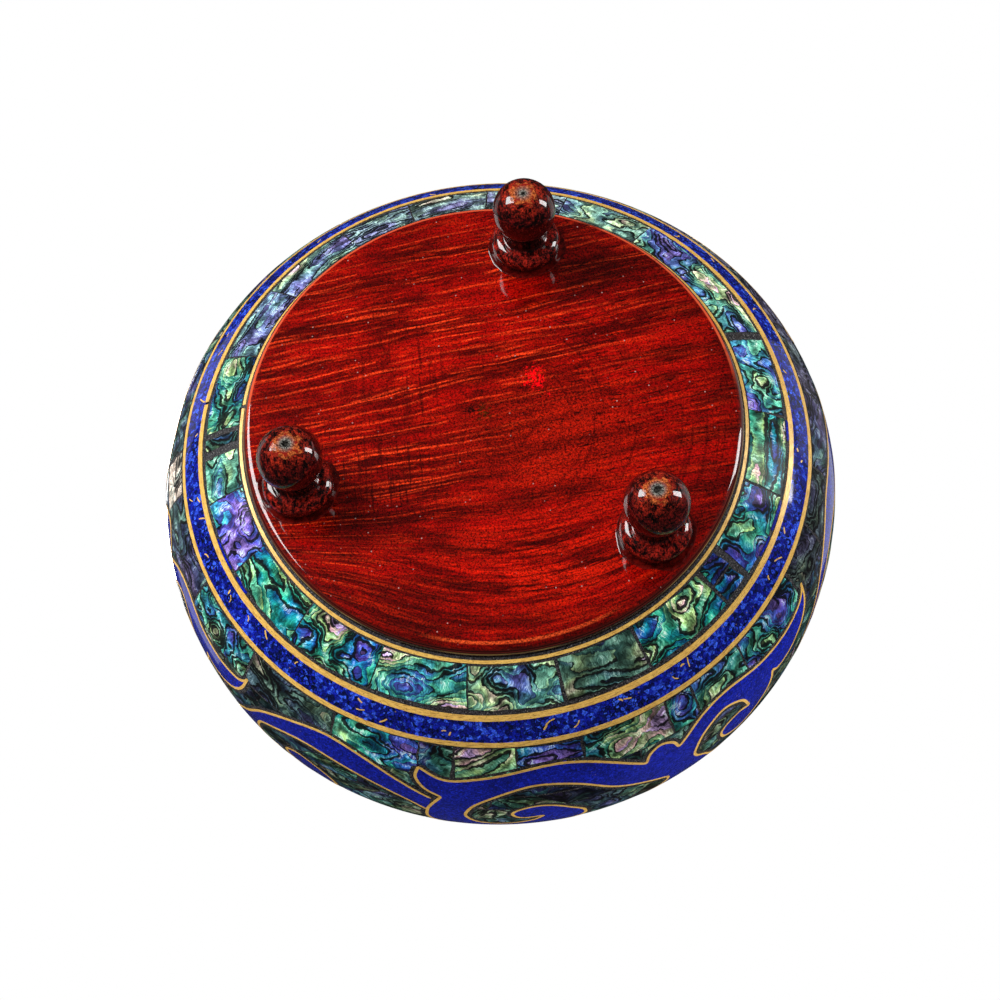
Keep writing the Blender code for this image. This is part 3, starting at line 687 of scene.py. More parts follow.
def lay_flat(bm, look=(0.0, 1.0, 0.0, 0.0), turn=0.0, shift=(0.0, 0.0), per_degree=MM_PER_DEGREE):
    """Gives a flat piece its own pattern place: turned and shifted, in millimetres, and its look."""
    uv_layer, look_layer = bm.loops.layers.uv["flat"], bm.verts.layers.float_color["shell"]
    cos, sin = math.cos(turn), math.sin(turn)
    for vert in bm.verts:
        vert[look_layer] = look
    for face in bm.faces:
        for loop in face.loops:
            x, y = loop.vert.co.x * per_degree, loop.vert.co.y
            loop[uv_layer].uv = (x * cos - y * sin + shift[0], x * sin + y * cos + shift[1])


def join_into(whole, part):
    """Adds a bmesh to another, and frees it."""
    mesh = mesh_of(part, "part")
    whole.from_mesh(mesh)
    bpy.data.meshes.remove(mesh)


def thicken(bm, thickness):
    """Gives a flat sheet its thickness, downwards, and turns all faces outwards."""
    under = bmesh.ops.extrude_face_region(bm, geom=bm.faces[:], use_keep_orig=True)
    low = [item for item in under["geom"] if isinstance(item, bmesh.types.BMVert)]
    bmesh.ops.translate(bm, verts=low, vec=(0.0, 0.0, -thickness))
    bmesh.ops.recalc_face_normals(bm, faces=bm.faces[:])


def skin_radius(distance):
    """The box's radius at a distance from the disc's edge, in millimetres."""
    return float(skin(np.array([distance]), np.array([0.0]))[0][0])


def wrap_on_box(bm):
    """Wraps a flat piece onto the box."""
    flat = np.array([vert.co[:] for vert in bm.verts])
    radius, height = skin(flat[:, 1], -flat[:, 2])
    angle = np.radians(flat[:, 0])
    wrapped = np.stack([radius * np.cos(angle), radius * np.sin(angle), height], 1) * MM
    for vert, co in zip(bm.verts, wrapped.tolist()):
        vert.co = co


def finish_piece(bm, name, finish_name, nodes=(), crease=38.0):
    """Turns a bmesh into a piece of the box, with its finish, its body and the nodes that it stands for."""
    mesh = mesh_of(bm, name)
    mesh.materials.append(finish(finish_name))
    mesh.polygons.foreach_set("use_smooth", [True] * len(mesh.polygons))
    mesh.set_sharp_from_angle(angle=math.radians(crease))
    piece = new_object(name, mesh)
    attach(piece, BODY)
    if nodes:
        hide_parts(*nodes)
    return piece


def bowed(turn):
    """How much of the belly ring's bow there is at a turn round the box, from 0 to 1."""
    return math.cos((turn - RING_BOWS_AT) / 2) ** 16


def ring_sheet(span, layer, wander=0.0, seed=0.0, rows=1, start=0.0, opening=0.0, bow=(0.0, 0.0)):
    """A band round the box. wander is how far its edges stray, and opening a break in it, in degrees from start.

    bow is how far its first and second edge bow out on one side.
    """
    bm = new_flat()
    bmesh.ops.create_grid(bm, x_segments=RING_STEPS, y_segments=rows, size=0.5)
    for vert in bm.verts:
        angle = start + opening / 2 + (vert.co.x + 0.5) * (360.0 - opening)
        turn = math.radians(angle)
        side = vert.co.y * 2.0
        sway, swell = round_noise(turn, SWAY_TURNS, seed), round_noise(turn, SWELL_TURNS, seed + 7.0)
        at = span[0] + (span[1] - span[0]) * (vert.co.y + 0.5) + wander * (SWAY * sway + SWELL * swell * side)
        at += (bow[0] * (0.5 - vert.co.y) + bow[1] * (vert.co.y + 0.5)) * bowed(turn)
        vert.co = (angle, at, layer[0])
    lay_flat(bm)
    thicken(bm, layer[1])
    if not opening:
        ends = [face for face in bm.faces if abs(face.normal.x) > 0.9]
        bmesh.ops.delete(bm, geom=ends, context="FACES")
    wrap_on_box(bm)
    if not opening:
        bmesh.ops.remove_doubles(bm, verts=bm.verts[:], dist=RING_MERGE)
    return bm


def brass_ring(name, span, node, seed, wander=None, **options):
    """A brass ring in place of a CAD node. It wanders as the box's rings do, or by so many millimetres."""
    stray = sizes().ring_wander / MM if wander is None else wander
    finish_piece(ring_sheet(span, BRASS_LAYER, stray, seed, **options), name, "brass", [node])


def scrap(corners, cells, look, seed, layer, rough, turn=0.0, per_degree=MM_PER_DEGREE):
    """A sawn piece of shell between four corners (angle and distance), with edges that stray by rough millimetres."""
    bm = new_flat()
    bmesh.ops.create_grid(bm, x_segments=cells[0], y_segments=cells[1], size=0.5)
    a, b, c, d = (Vector(corner) for corner in corners)
    noise.seed_set(SAW_SEED)
    for vert in bm.verts:
        x, y = vert.co.x + 0.5, vert.co.y + 0.5
        spot = (a * (1 - x) + b * x) * (1 - y) + (d * (1 - x) + c * x) * y
        edge = max(abs(vert.co.x), abs(vert.co.y)) * 2.0
        stray = noise.noise_vector((spot.x * SAW_CHANGE, spot.y * SAW_CHANGE, seed)) * rough * edge ** 4
        vert.co = (spot.x + stray.x / per_degree, spot.y + stray.y, layer[0])
    draw = random.Random(int(seed * 977) + 5)
    shift = [draw.uniform(-PATTERN_REACH, PATTERN_REACH) for _ in range(2)]
    lay_flat(bm, look, turn, shift, per_degree)
    thicken(bm, layer[1])
    return bm


def smooth_stroke(points, spacing=0.55):
    """Points along a smooth curve through the given ones, evenly spaced, in degrees and millimetres."""
    known = [Vector((x * MM_PER_DEGREE, y)) for x, y in points]
    if len(known) == 2:
        fine = [known[0].lerp(known[1], i / 8) for i in range(9)]
    else:
        ends = [known[0] * 2 - known[1]] + known + [known[-1] * 2 - known[-2]]
        fine = []
        for i in range(1, len(ends) - 2):
            before, first, last, after = ends[i - 1:i + 3]
            for step in range(10):
                t = step / 10
                fine.append(0.5 * (2 * first + (last - before) * t
                                   + (2 * before - 5 * first + 4 * last - after) * t ** 2
                                   + (3 * first - before - 3 * last + after) * t ** 3))
        fine.append(known[-1])
    lengths = np.concatenate([[0.0], np.cumsum([(q - p).length for p, q in zip(fine, fine[1:])])])
    count = max(2, round(lengths[-1] / spacing))
    wanted = np.linspace(0.0, lengths[-1], count + 1)
    xs = np.interp(wanted, lengths, [p.x for p in fine]) / MM_PER_DEGREE
    ys = np.interp(wanted, lengths, [p.y for p in fine])
    return list(zip(xs.tolist(), ys.tolist()))


def wire(path, width, layer):
    """A flat strip of wire along a smooth path."""
    bm = new_flat()
    verts = [bm.verts.new((x, y, layer[0])) for x, y in path]
    chain = [bm.edges.new(pair) for pair in zip(verts, verts[1:])]
    bmesh.ops.extrude_edge_only(bm, edges=chain)
    # Each point's twin is the other end of an edge that has no length yet
    twins = {}
    for edge in bm.edges:
        first, last = edge.verts
        if (first.co - last.co).length < 1e-9:
            old, new = (first, last) if first in verts else (last, first)
            twins[old] = new
    spots = [Vector((x * MM_PER_DEGREE, y)) for x, y in path]
    for i, vert in enumerate(verts):
        ahead, behind = spots[min(i + 1, len(spots) - 1)], spots[max(i - 1, 0)]
        along = (ahead - behind).normalized()
        half = width / 2 * (WIRE_END if i in (0, len(verts) - 1) else 1.0)
        for point, side in ((vert, half), (twins[vert], -half)):
            point.co = ((spots[i].x - along.y * side) / MM_PER_DEGREE, spots[i].y + along.x * side, layer[0])
    lay_flat(bm)
    bmesh.ops.recalc_face_normals(bm, faces=bm.faces[:])
    if sum(face.normal.z for face in bm.faces) < 0.0:
        bmesh.ops.reverse_faces(bm, faces=bm.faces[:])
    thicken(bm, layer[1])
    return bm


def plate(outline_points, layer):
    """A flat plate inside an outline, cut into cells of degrees and millimetres so that it bends with the box."""
    bm = new_flat()
    verts = [bm.verts.new((x, y, layer[0])) for x, y in outline_points]
    bm.faces.new(verts)
    for axis, size in enumerate(PLATE_CELL):
        low = min(vert.co[axis] for vert in verts)
        high = max(vert.co[axis] for vert in verts)
        place = math.floor(low / size + 1.0) * size
        while place < high - 0.01:
            spot, along = Vector((0.0, 0.0, 0.0)), Vector((0.0, 0.0, 0.0))
            spot[axis], along[axis] = place, 1.0
            bmesh.ops.bisect_plane(bm, geom=bm.verts[:] + bm.edges[:] + bm.faces[:], dist=1e-6, plane_co=spot,
                                   plane_no=along)
            place += size
    bmesh.ops.remove_doubles(bm, verts=bm.verts[:], dist=PLATE_MERGE)
    lay_flat(bm)
    if sum(face.normal.z * face.calc_area() for face in bm.faces) < 0.0:
        bmesh.ops.reverse_faces(bm, faces=bm.faces[:])
    thicken(bm, layer[1])
    return bm


def turned_shape(profile, steps, centre=(0.0, 0.0), hollow_from=None):
    """A profile of radius and height, in millimetres, turned about an upright axis at the centre.

    From the point hollow_from on, the profile lies in a hole, and is marked so.
    """
    bm = new_flat()
    hollow_layer = bm.verts.layers.float.new("hollow")
    verts = [bm.verts.new((radius * MM, 0.0, height * MM)) for radius, height in profile]
    for i, vert in enumerate(verts):
        vert[hollow_layer] = 1.0 if hollow_from is not None and i >= hollow_from else 0.0
    edges = [bm.edges.new(pair) for pair in zip(verts, verts[1:])]
    if (Vector(profile[0]) - Vector(profile[-1])).length > 0.01 and profile[0][0] > 0.0 and profile[-1][0] > 0.0:
        edges.append(bm.edges.new((verts[-1], verts[0])))
    bmesh.ops.spin(bm, geom=verts + edges, cent=(0.0, 0.0, 0.0), axis=(0.0, 0.0, 1.0), dvec=(0.0, 0.0, 0.0),
                   angle=2.0 * math.pi, steps=steps, use_merge=True, use_duplicate=False)
    bmesh.ops.remove_doubles(bm, verts=bm.verts[:], dist=TURNED_MERGE)
    bmesh.ops.recalc_face_normals(bm, faces=bm.faces[:])
    bmesh.ops.translate(bm, verts=bm.verts[:], vec=(centre[0] * MM, centre[1] * MM, 0.0))
    uv_layer = bm.loops.layers.uv["flat"]
    for face in bm.faces:
        for loop in face.loops:
            loop[uv_layer].uv = (loop.vert.co.x / MM, loop.vert.co.y / MM)
    return bm


def foot_centre(index):
    """Where a foot stands, each a little off its even place."""
    angle = math.radians(FOOT_TURN + 120.0 * index)
    across, up = FOOT_SHIFTS[index]
    return FOOT_CIRCLE * math.cos(angle) + across, FOOT_CIRCLE * math.sin(angle) + up


# Turned pieces

# A foot's dents change this much a metre, take away up to this part of its radius, and spare its lowest millimetres
DENT_CHANGE, DENT_DEPTH, FLAT_END = 140.0, 0.012, 0.3
# A pool of lacquer: radius, and height over the disc's face, in millimetres. Beyond LOBES_FROM it spreads in lobes
POOL_PROFILE = ((6.3, 0.05), (9.4, 0.05), (9.15, -0.06), (9.0, -0.11), (8.8, -0.05), (8.3, -0.04), (7.6, -0.10),
                (7.0, -0.34), (6.3, -0.42))
LOBES_FROM, LOBES_FULL = 7.0, 2.3


def make_base_disc():
    """The disc, from its hidden top over the rounded edge to the middle of its face."""
    top = DISC_FACE_Z + DISC_THICKNESS
    profile = [(0.0, top), (DISC_RADIUS, top)]
    for i in range(17):
        turn = math.pi / 2 * i / 16
        profile.append((DISC_RADIUS - DISC_EDGE_ROUNDING * (1.0 - math.cos(turn)),
                        DISC_FACE_Z + DISC_EDGE_ROUNDING * (1.0 - math.sin(turn))))
    profile += [(DISC_RADIUS * share, DISC_FACE_Z) for share in (0.9, 0.7, 0.5, 0.3, 0.1, 0.0)]
    bm = turned_shape(profile, 192, (0.0, DISC_OFF_CENTRE))
    finish_piece(bm, "lacquered_base_disc", "wood_face", ["base_disc"])


def foot_profile(hole):
    """Ball, neck and collar, from the seat on the disc down to the raw end, and into the small hole in it."""
    seat_z, bead_z = DISC_FACE_Z, DISC_FACE_Z - COLLAR_BEAD_HEIGHT
    ball_z = math.sqrt(BALL_RADIUS ** 2 - BALL_FLAT_RADIUS ** 2)
    neck_z = ball_z + math.sqrt(BALL_RADIUS ** 2 - NECK_RADIUS ** 2)
    profile = [(0.0, seat_z), (COLLAR_SEAT_RADIUS, seat_z)]

    def bend(centre, across, along, first, last, steps):
        """Part of an ellipse about a centre, between two turns in degrees from the radial direction."""
        for i in range(steps + 1):
            turn = math.radians(first + (last - first) * i / steps)
            profile.append((centre[0] + across * math.cos(turn), centre[1] + along * math.sin(turn)))

    bend((COLLAR_SEAT_RADIUS, bead_z), COLLAR_RADIUS - COLLAR_SEAT_RADIUS, seat_z - bead_z, 80.0, 0.0, 8)
    shoulder = SHOULDER_HEIGHT - COLLAR_BEAD_HEIGHT
    bend((SHOULDER_RADIUS, bead_z), COLLAR_RADIUS - SHOULDER_RADIUS, -shoulder, 6.0, 90.0, 14)
    bend((SHOULDER_RADIUS, bead_z - shoulder - COVE), NECK_RADIUS - SHOULDER_RADIUS, COVE, 80.0, 0.0, 6)
    bend((0.0, ball_z), BALL_RADIUS, BALL_RADIUS, math.degrees(math.asin((neck_z - ball_z) / BALL_RADIUS)),
         -math.degrees(math.asin(ball_z / BALL_RADIUS)), 26)
    profile[-1] = (BALL_FLAT_RADIUS, 0.0)
    inside = [(hole * 1.3, 0.0), (hole, 0.03), (hole * 0.93, 0.3), (hole * 0.85, 1.1), (0.0, 1.3)]
    return profile + inside, len(profile)


def out_from(vert, centre):
    """The way out to a point from an upright axis, at the point's height."""
    return vert.co - Vector((centre[0] * MM, centre[1] * MM, vert.co.z))


def make_feet():
    """The three feet, very slightly dented all over, but flat where they stand."""
    for index, hole in enumerate(HOLE_RADII):
        profile, hollow_from = foot_profile(hole)
        centre = foot_centre(index)
        bm = turned_shape(profile, FOOT_STEPS, centre, hollow_from)
        for vert in bm.verts:
            if vert.co.z >= FLAT_END * MM:
                dent = noise.noise(vert.co * DENT_CHANGE + Vector((index * 3.0, 0.0, 0.0)))
                vert.co -= out_from(vert, centre) * DENT_DEPTH * (dent + 0.5)
        finish_piece(bm, f"turned_foot_{index + 1}", "turnings", [f"foot_{index + 1}"], 60.0)


def make_lacquer_pools():
    """A ring of thick lacquer between each foot's collar and the disc."""
    for index in range(3):
        centre = foot_centre(index)
        bm = turned_shape([(radius, DISC_FACE_Z + rise) for radius, rise in POOL_PROFILE], 96, centre)
        for vert in bm.verts:
            away = out_from(vert, centre)
            turn = math.atan2(away.y, away.x)
            spread = max(0.0, (away.length / MM - LOBES_FROM) / LOBES_FULL)
            lobes, bits = round_noise(turn, 1.3, index * 5.0 + 1.0), round_noise(turn, 3.5, index * 5.0 + 3.0)
            vert.co += away.normalized() * (spread * (lobes + 0.35 * bits)) * MM
        finish_piece(bm, f"lacquer_pool_{index + 1}", "pooled", (), 70.0)


def make_bowl():
    """The hollow bowl, from the middle of its floor up the inside, over the mouth and down the outside."""
    inner_top = distance_at(SEAM_Z - MOUTH_DEPTH - LEDGE_HEIGHT, INSIDE_DEPTH)
    inside = stretch(distance_at(FLOOR_Z, INSIDE_DEPTH), inner_top, INSIDE_DEPTH, 28)
    mouth = [(MOUTH_RADIUS, SEAM_Z - MOUTH_DEPTH), (MOUTH_RADIUS, SEAM_Z)]
    outside = stretch(BASE_RING[0], distance_at(SEAM_Z), WOOD_DEPTH, 40)
    outside[-1] = (radius_at_height(SEAM_Z, WOOD_DEPTH), SEAM_Z)
    underside = [(outside[0][0], UNDERSIDE_Z), (0.0, UNDERSIDE_Z)]
    profile = [(0.0, FLOOR_Z)] + inside + mouth + outside[::-1] + underside
    finish_piece(turned_shape(profile, TURN_STEPS), "turned_bowl", "inside", ["bowl"])


def make_lid_core():
    """The lid's hollow dome, from its crown down the outside, round the lip and up the inside."""
    outside = stretch(POLE_AT, LID_EDGE_AT, WOOD_DEPTH, 56)
    outside[-1] = (radius_at_height(LID_EDGE_Z, WOOD_DEPTH), LID_EDGE_Z)
    lip_radius, lip_z, ledge_z = MOUTH_RADIUS - LIP_CLEARANCE, SEAM_Z - LIP_DEPTH, LID_EDGE_Z + LEDGE_HEIGHT
    lip = [(lip_radius, LID_EDGE_Z), (lip_radius, lip_z), (lip_radius - LIP_WALL, lip_z),
           (lip_radius - LIP_WALL, ledge_z)]
    inside = stretch(distance_at(ledge_z + LEDGE_HEIGHT, INSIDE_DEPTH), POLE_AT, INSIDE_DEPTH, 40)
    finish_piece(turned_shape(outside + lip + inside, TURN_STEPS), "turned_lid_core", "inside",
                 ["lid_core"])


# Bands of the inlay

# The look of each shell tile: colour shift, brightness, milkiness, layering and the turn of its pattern
TILE_LOOKS = ((0.00, 0.50, 0.25, 0.5, 0.2), (0.02, 0.95, 0.10, 0.6, 0.3), (-0.12, 1.00, 0.50, 1.0, 0.1),
              (0.00, 1.05, 0.52, 1.0, -0.2), (-0.10, 1.00, 0.66, 1.0, 0.1), (-0.06, 1.00, 0.70, 1.0, -0.1),
              (0.03, 1.05, 0.72, 0.8, 0.2), (0.10, 1.10, 0.48, 0.6, 0.1), (-0.10, 1.12, 0.28, 0.5, 0.0),
              (0.05, 1.45, 0.24, 0.5, 0.3), (-0.04, 1.48, 0.16, 0.4, 0.5), (0.03, 1.15, 0.02, 1.2, 0.0),
              (-0.07, 1.05, 0.05, 0.2, 0.9), (-0.04, 0.95, 0.02, 1.2, 0.2), (-0.03, 1.15, 0.02, 0.6, -0.3),
              (0.12, 0.42, 0.35, 1.2, 0.1), (0.06, 1.16, 0.28, 0.1, 0.5), (0.10, 1.34, 0.12, 0.8, -0.1),
              (0.02, 1.10, 0.03, 0.1, 1.3), (0.01, 1.20, 0.02, 1.0, 0.15), (-0.34, 1.50, 0.10, 0.5, -0.4),
              (0.03, 1.20, 0.22, 0.8, 0.1))
# How far a tile keeps from the joints beside it, in degrees, and the tiles whose joints are wider than a thin line
THIN_INSET = (0.17, 0.17)
TILE_INSETS = {0: (1.9, 0.6), 12: (0.4, 0.9), 13: (0.9, 0.4), 9: (0.2, 1.2), 10: (1.0, 0.2), 14: (0.6, 0.2),
               15: (0.5, 0.3), 16: (0.5, 0.2), 1: (0.8, 0.2)}
# Where the tiles begin and end, along the curve, and the tile that is in two parts
TILE_EDGE, SPLIT_TILE = (1.75, 11.65), 13
# Slips of lapis between the tiles and the middle ring: where each begins and ends
LAPIS_SLIPS = ((130.5, 134.0), (135.5, 142.0), (183.5, 188.0), (201.0, 207.5), (209.0, 213.5), (331.0, 335.0),
               (337.0, 344.0))
LAPIS_SLIP_AT = 12.25
# Pieces of the row below the belly ring: where each begins, then its look as above
ROW_LOOKS = ((212.6, -0.13, 0.75, 0.10, 0.2, 0.4), (228.8, 0.00, 0.85, 0.15, 0.4, 0.1),
             (239.8, 0.02, 0.90, 0.10, 0.3, 1.0), (245.2, 0.12, 0.75, 0.10, 0.6, -0.3),
             (260.7, -0.02, 0.90, 0.05, 0.8, 0.0), (272.0, 0.22, 0.95, 0.10, 1.2, -0.7),
             (282.6, -0.04, 0.40, 0.20, 0.4, 0.8), (288.7, 0.00, 1.10, 0.05, 0.8, 0.1),
             (304.2, -0.02, 0.30, 0.50, 0.6, 0.3), (322.6, 0.00, 1.00, 0.10, 0.0, 0.6),
             (339.2, -0.20, 0.36, 0.50, 0.6, 0.0), (357.6, 0.42, 1.05, 1.00, 0.3, 0.5),
             (366.4, -0.18, 0.30, 0.40, 0.3, 0.2), (377.0, -0.16, 0.45, 0.30, 0.3, 0.9),
             (391.0, -0.05, 0.40, 0.40, 0.5, 0.1), (407.0, -0.02, 0.55, 0.40, 0.6, 0.3),
             (424.5, 0.02, 0.75, 0.20, 0.6, 0.0), (441.0, -0.10, 0.45, 0.40, 0.4, 0.5),
             (455.5, 0.00, 0.70, 0.30, 0.7, 0.2), (471.0, -0.20, 0.50, 0.70, 0.6, 0.7),
             (488.5, -0.30, 0.42, 0.85, 0.5, 0.0), (505.0, -0.36, 0.36, 0.85, 0.5, 0.4),
             (520.0, -0.34, 0.36, 0.85, 0.5, 0.2), (535.0, -0.30, 0.36, 0.50, 0.3, 0.6),
             (550.5, -0.20, 0.24, 0.70, 0.5, 0.1), (562.0, -0.20, 0.22, 0.75, 0.5, 0.3), (572.4,))
# Brass shavings that fell into the lapis band: angle, distance, length in millimetres and lean in degrees. The
# distances count the band's beginning as SHAVINGS_BEGIN
SHAVINGS_BEGIN = 12.7
SHAVINGS = ((189.0, 14.0, 0.8, 20), (191.0, 15.5, 0.7, -40), (206.0, 14.0, 1.3, 35), (211.5, 15.5, 2.2, -35),
            (215.5, 15.5, 0.9, 60), (238.0, 14.2, 2.0, 75), (239.3, 14.0, 0.9, 5), (241.5, 15.5, 1.4, -50),
            (251.0, 14.3, 1.6, -15), (252.3, 14.0, 0.9, -40), (261.0, 16.0, 1.8, 45), (265.5, 14.2, 2.1, 30),
            (266.5, 15.0, 1.5, 60), (284.5, 15.7, 0.9, 10), (283.4, 16.2, 0.8, 70), (295.5, 16.6, 1.7, 40),
            (300.5, 13.9, 1.2, -30), (300.0, 16.0, 1.7, 15), (314.5, 13.9, 0.9, 60), (322.5, 13.7, 1.8, -40),
            (327.5, 14.5, 1.2, -55), (333.0, 15.5, 1.6, -60), (334.0, 14.6, 1.0, -80), (343.0, 16.0, 1.5, 30),
            (350.0, 13.8, 1.9, 65), (354.0, 13.6, 1.6, 25), (355.0, 16.4, 1.4, 45), (8.0, 14.0, 0.9, -60),
            (15.5, 14.2, 2.2, 60), (26.5, 14.3, 1.6, -30), (31.0, 15.6, 1.2, 10), (58.0, 15.0, 1.5, 35),
            (83.0, 14.4, 1.7, -50), (104.0, 15.9, 1.3, 20), (134.5, 14.9, 1.8, 80), (143.0, 16.4, 1.4, -30),
            (157.0, 15.0, 1.2, -70), (172.0, 14.2, 1.0, 40))


def make_brass_rings():
    """All rings between the bands. The two lowest have a small break, and those at the seam run true."""
    brass_ring("base_ring", BASE_RING, "base_brass_ring", 1.0, 0.05, start=11.5, opening=0.9,
               bow=(0.0, BASE_RING_THINS))
    brass_ring("middle_ring", MIDDLE_RING, "middle_brass_ring", 2.0, start=14.5, opening=0.6)
    brass_ring("belly_ring", BELLY_RING, "belly_brass_ring", 3.0, bow=(BELLY_RING_BOW, BELLY_RING_BOW))
    brass_ring("rim_ring", RIM_RING, "rim_brass_ring", 4.0, 0.0)
    brass_ring("lid_rim_ring", LID_RIM_RING, "lid_rim_brass_ring", 5.0, 0.0)
    brass_ring("lid_outer_ring", LID_OUTER_RING, "lid_outer_brass_ring", 6.0)
    brass_ring("lid_inner_ring", LID_INNER_RING, "lid_inner_brass_ring", 7.0)


def make_abalone_band():
    """The bed of gritty resin, with the cut tiles of shell in it."""
    bed = ring_sheet((ABALONE_BAND[0] - 0.5, ABALONE_BAND[1] + 0.5), TILE_BED, rows=8)
    finish_piece(bed, "tile_bed", "resin", ["abalone_bed"])
    groove = ring_sheet((-0.25, 0.8), GROOVE_FILL, rows=2)
    finish_piece(groove, "disc_groove_fill", "resin")
    thickness = sizes().tile_thickness / MM
    for index, (shift, brightness, milk, layered, turn) in enumerate(TILE_LOOKS):
        first, last = TILE_JOINTS[index], TILE_JOINTS[(index + 1) % len(TILE_JOINTS)]
        last += 360.0 if last < first else 0.0
        before, after = TILE_INSETS.get(index, THIN_INSET)
        first, last = first + before, last - after
        draw = random.Random(index + 40)
        low = [TILE_EDGE[0] + draw.uniform(-0.30, 0.25) for _ in range(2)]
        high = [TILE_EDGE[1] + draw.uniform(-0.25, 0.25) for _ in range(2)]
        lean = [draw.uniform(-0.25, 0.25) for _ in range(2)]
        parts = [(low, high, 0.0)]
        if index == SPLIT_TILE:
            middle = (low[0] + high[0]) / 2
            edges = ((low[0], middle - 0.35, 0.0), (middle + 0.25, high[0] - 0.3, 0.5))
            parts = [((bottom, bottom), (top, top + 0.1), more) for bottom, top, more in edges]
        whole = new_flat()
        for near, far, more in parts:
            corners = ((first + lean[0], near[0]), (last + lean[1], near[1]),
                       (last - lean[1], far[1]), (first - lean[0], far[0]))
            join_into(whole, scrap(corners, (max(4, round((last - first) / 1.2)), 8),
                                   (shift, brightness, milk, layered), index + 1.0 + more, (TILE_TOP, thickness),
                                   0.22, turn + more))
        wrap_on_box(whole)
        finish_piece(whole, f"cut_shell_tile_{index + 1:02d}", "shell", [f"shell_tile_{index + 1:02d}"])
    slips = new_flat()
    for first, last in LAPIS_SLIPS:
        draw = random.Random(int(first * 10))
        path = [(first + (last - first) * i / 4, LAPIS_SLIP_AT + draw.uniform(-0.15, 0.15)) for i in range(5)]
        join_into(slips, wire(smooth_stroke(path), draw.uniform(0.45, 0.75), SLIP_LAYER))
    wrap_on_box(slips)
    finish_piece(slips, "lapis_slips", "lapis_fine")


def make_lapis_bands():
    """The belly's and the lid's bands of crushed lapis, with brass shavings in them."""
    band = ring_sheet((LAPIS_BAND[0] - 0.3, LAPIS_BAND[1] + 0.4), LAPIS_FILL, rows=5, bow=(0.0, BELLY_RING_BOW))
    finish_piece(band, "crushed_lapis_band", "lapis_band", ["lapis_band"])
    band = ring_sheet((LID_LAPIS_BAND[0] - 0.3, LID_LAPIS_BAND[1] + 0.3), LAPIS_FILL, rows=5)
    finish_piece(band, "lid_crushed_lapis_band", "lapis_band", ["lid_lapis_band"])
    for name, band_at in (("brass_shavings", LAPIS_BAND[0]), ("lid_brass_shavings", LID_LAPIS_BAND[0])):
        base = band_at - SHAVINGS_BEGIN
        whole = new_flat()
        for angle, at, length, lean in SHAVINGS:
            draw = random.Random(int(angle * 10))
            turn = math.radians(lean)
            reach = Vector((math.cos(turn) / MM_PER_DEGREE, math.sin(turn))) * length * 0.6
            middle = Vector((angle, at + base))
            bend = Vector((-reach.y, reach.x)) * draw.uniform(-0.35, 0.35)
            points = [tuple(middle - reach), tuple(middle + bend), tuple(middle + reach)]
            join_into(whole, wire(smooth_stroke(points, 0.3), draw.uniform(0.20, 0.44), SHAVING_LAYER))
        wrap_on_box(whole)
        finish_piece(whole, name, "brass")


# The scroll work of the belly, as strokes of (angle, distance from the base ring), joined at its cusps. It was drawn
# at the first place, the centre, and comes at three places round the box
SCROLL_CENTRE = 249.8
SCROLL_PLACES = (249.8, 355.3, 122.65)
SCROLL_STROKES = (
    ((211.3, 25.7), (212.2, 27.6), (214.5, 29.4), (219.5, 30.3), (226, 29.6), (234, 27.5), (240, 29.3), (245, 35)),
    ((245, 35), (245.9, 32), (248, 30.5), (250.1, 32), (251, 35)),
    ((251, 35), (256, 29.8), (260.5, 26.6), (265, 25.2), (270, 25.7), (278, 28.2), (284, 29.6), (288.5, 26.5)),
    ((288.5, 26.5), (288.9, 30), (287.4, 34), (284.8, 36.8)),
    ((284.8, 36.8), (286.5, 42), (287.5, 47), (287.5, 54), (284.0, 60), (276, 63.0), (267, 60.5), (262.3, 55.8),
     (261.8, 50.5), (264, 46.2), (266.5, 42.8), (269.3, 41.5), (272.2, 43), (273.6, 46), (272.2, 49.2),
     (268.5, 49.0)),
    ((268.5, 49.0), (270.5, 52.2), (275, 54.5), (279, 53), (281, 49), (281, 45), (279, 39), (274, 33.5),
     (268.5, 31.3), (262, 34), (256, 41), (250, 47), (247, 51), (248.5, 56.5), (253, 61.5), (258.5, 64.0)),
    ((258.5, 64.0), (224.0, 64.0)),
    ((224.0, 64.0), (232, 61.5), (237.5, 56), (239.8, 50.5), (241.6, 47), (242, 43), (240.3, 36.5), (236, 32.7),
     (232.0, 35.5), (230.3, 41.8)),
    ((230.3, 41.8), (232.6, 40.2), (235.4, 41.2), (236.6, 44), (235.6, 48.5), (232.5, 51), (229, 49.5), (226, 45.5),
     (224.6, 41), (224.3, 37)),
    ((224.3, 37), (222.6, 39.3), (219, 39), (215, 35.5), (212.5, 31), (211.3, 25.7)),
)
# The stroke that has no wire, because it only closes the outline
BARE_STROKE = 6
# The second place's scroll: a shorter left arm and a wider hump between its cusps
SHORT_PLACE = 1
SHORT_ARM_IN, SHORT_ARM_DOWN = 0.135, 0.062
WIDE_HUMP = (
    ((245, 35), (245.9, 31.5), (249.6, 28.8), (253.2, 31), (255.6, 36), (257.0, 41)),
    ((257.0, 41), (258.6, 35), (261.5, 30.5), (265.5, 27.6), (270, 27.0), (278, 28.6), (284, 29.6), (288.5, 26.5)),
)
ARCH_CENTRE = 305.0
ARCH_PLACES = (305.0, 193.5, 50.5)
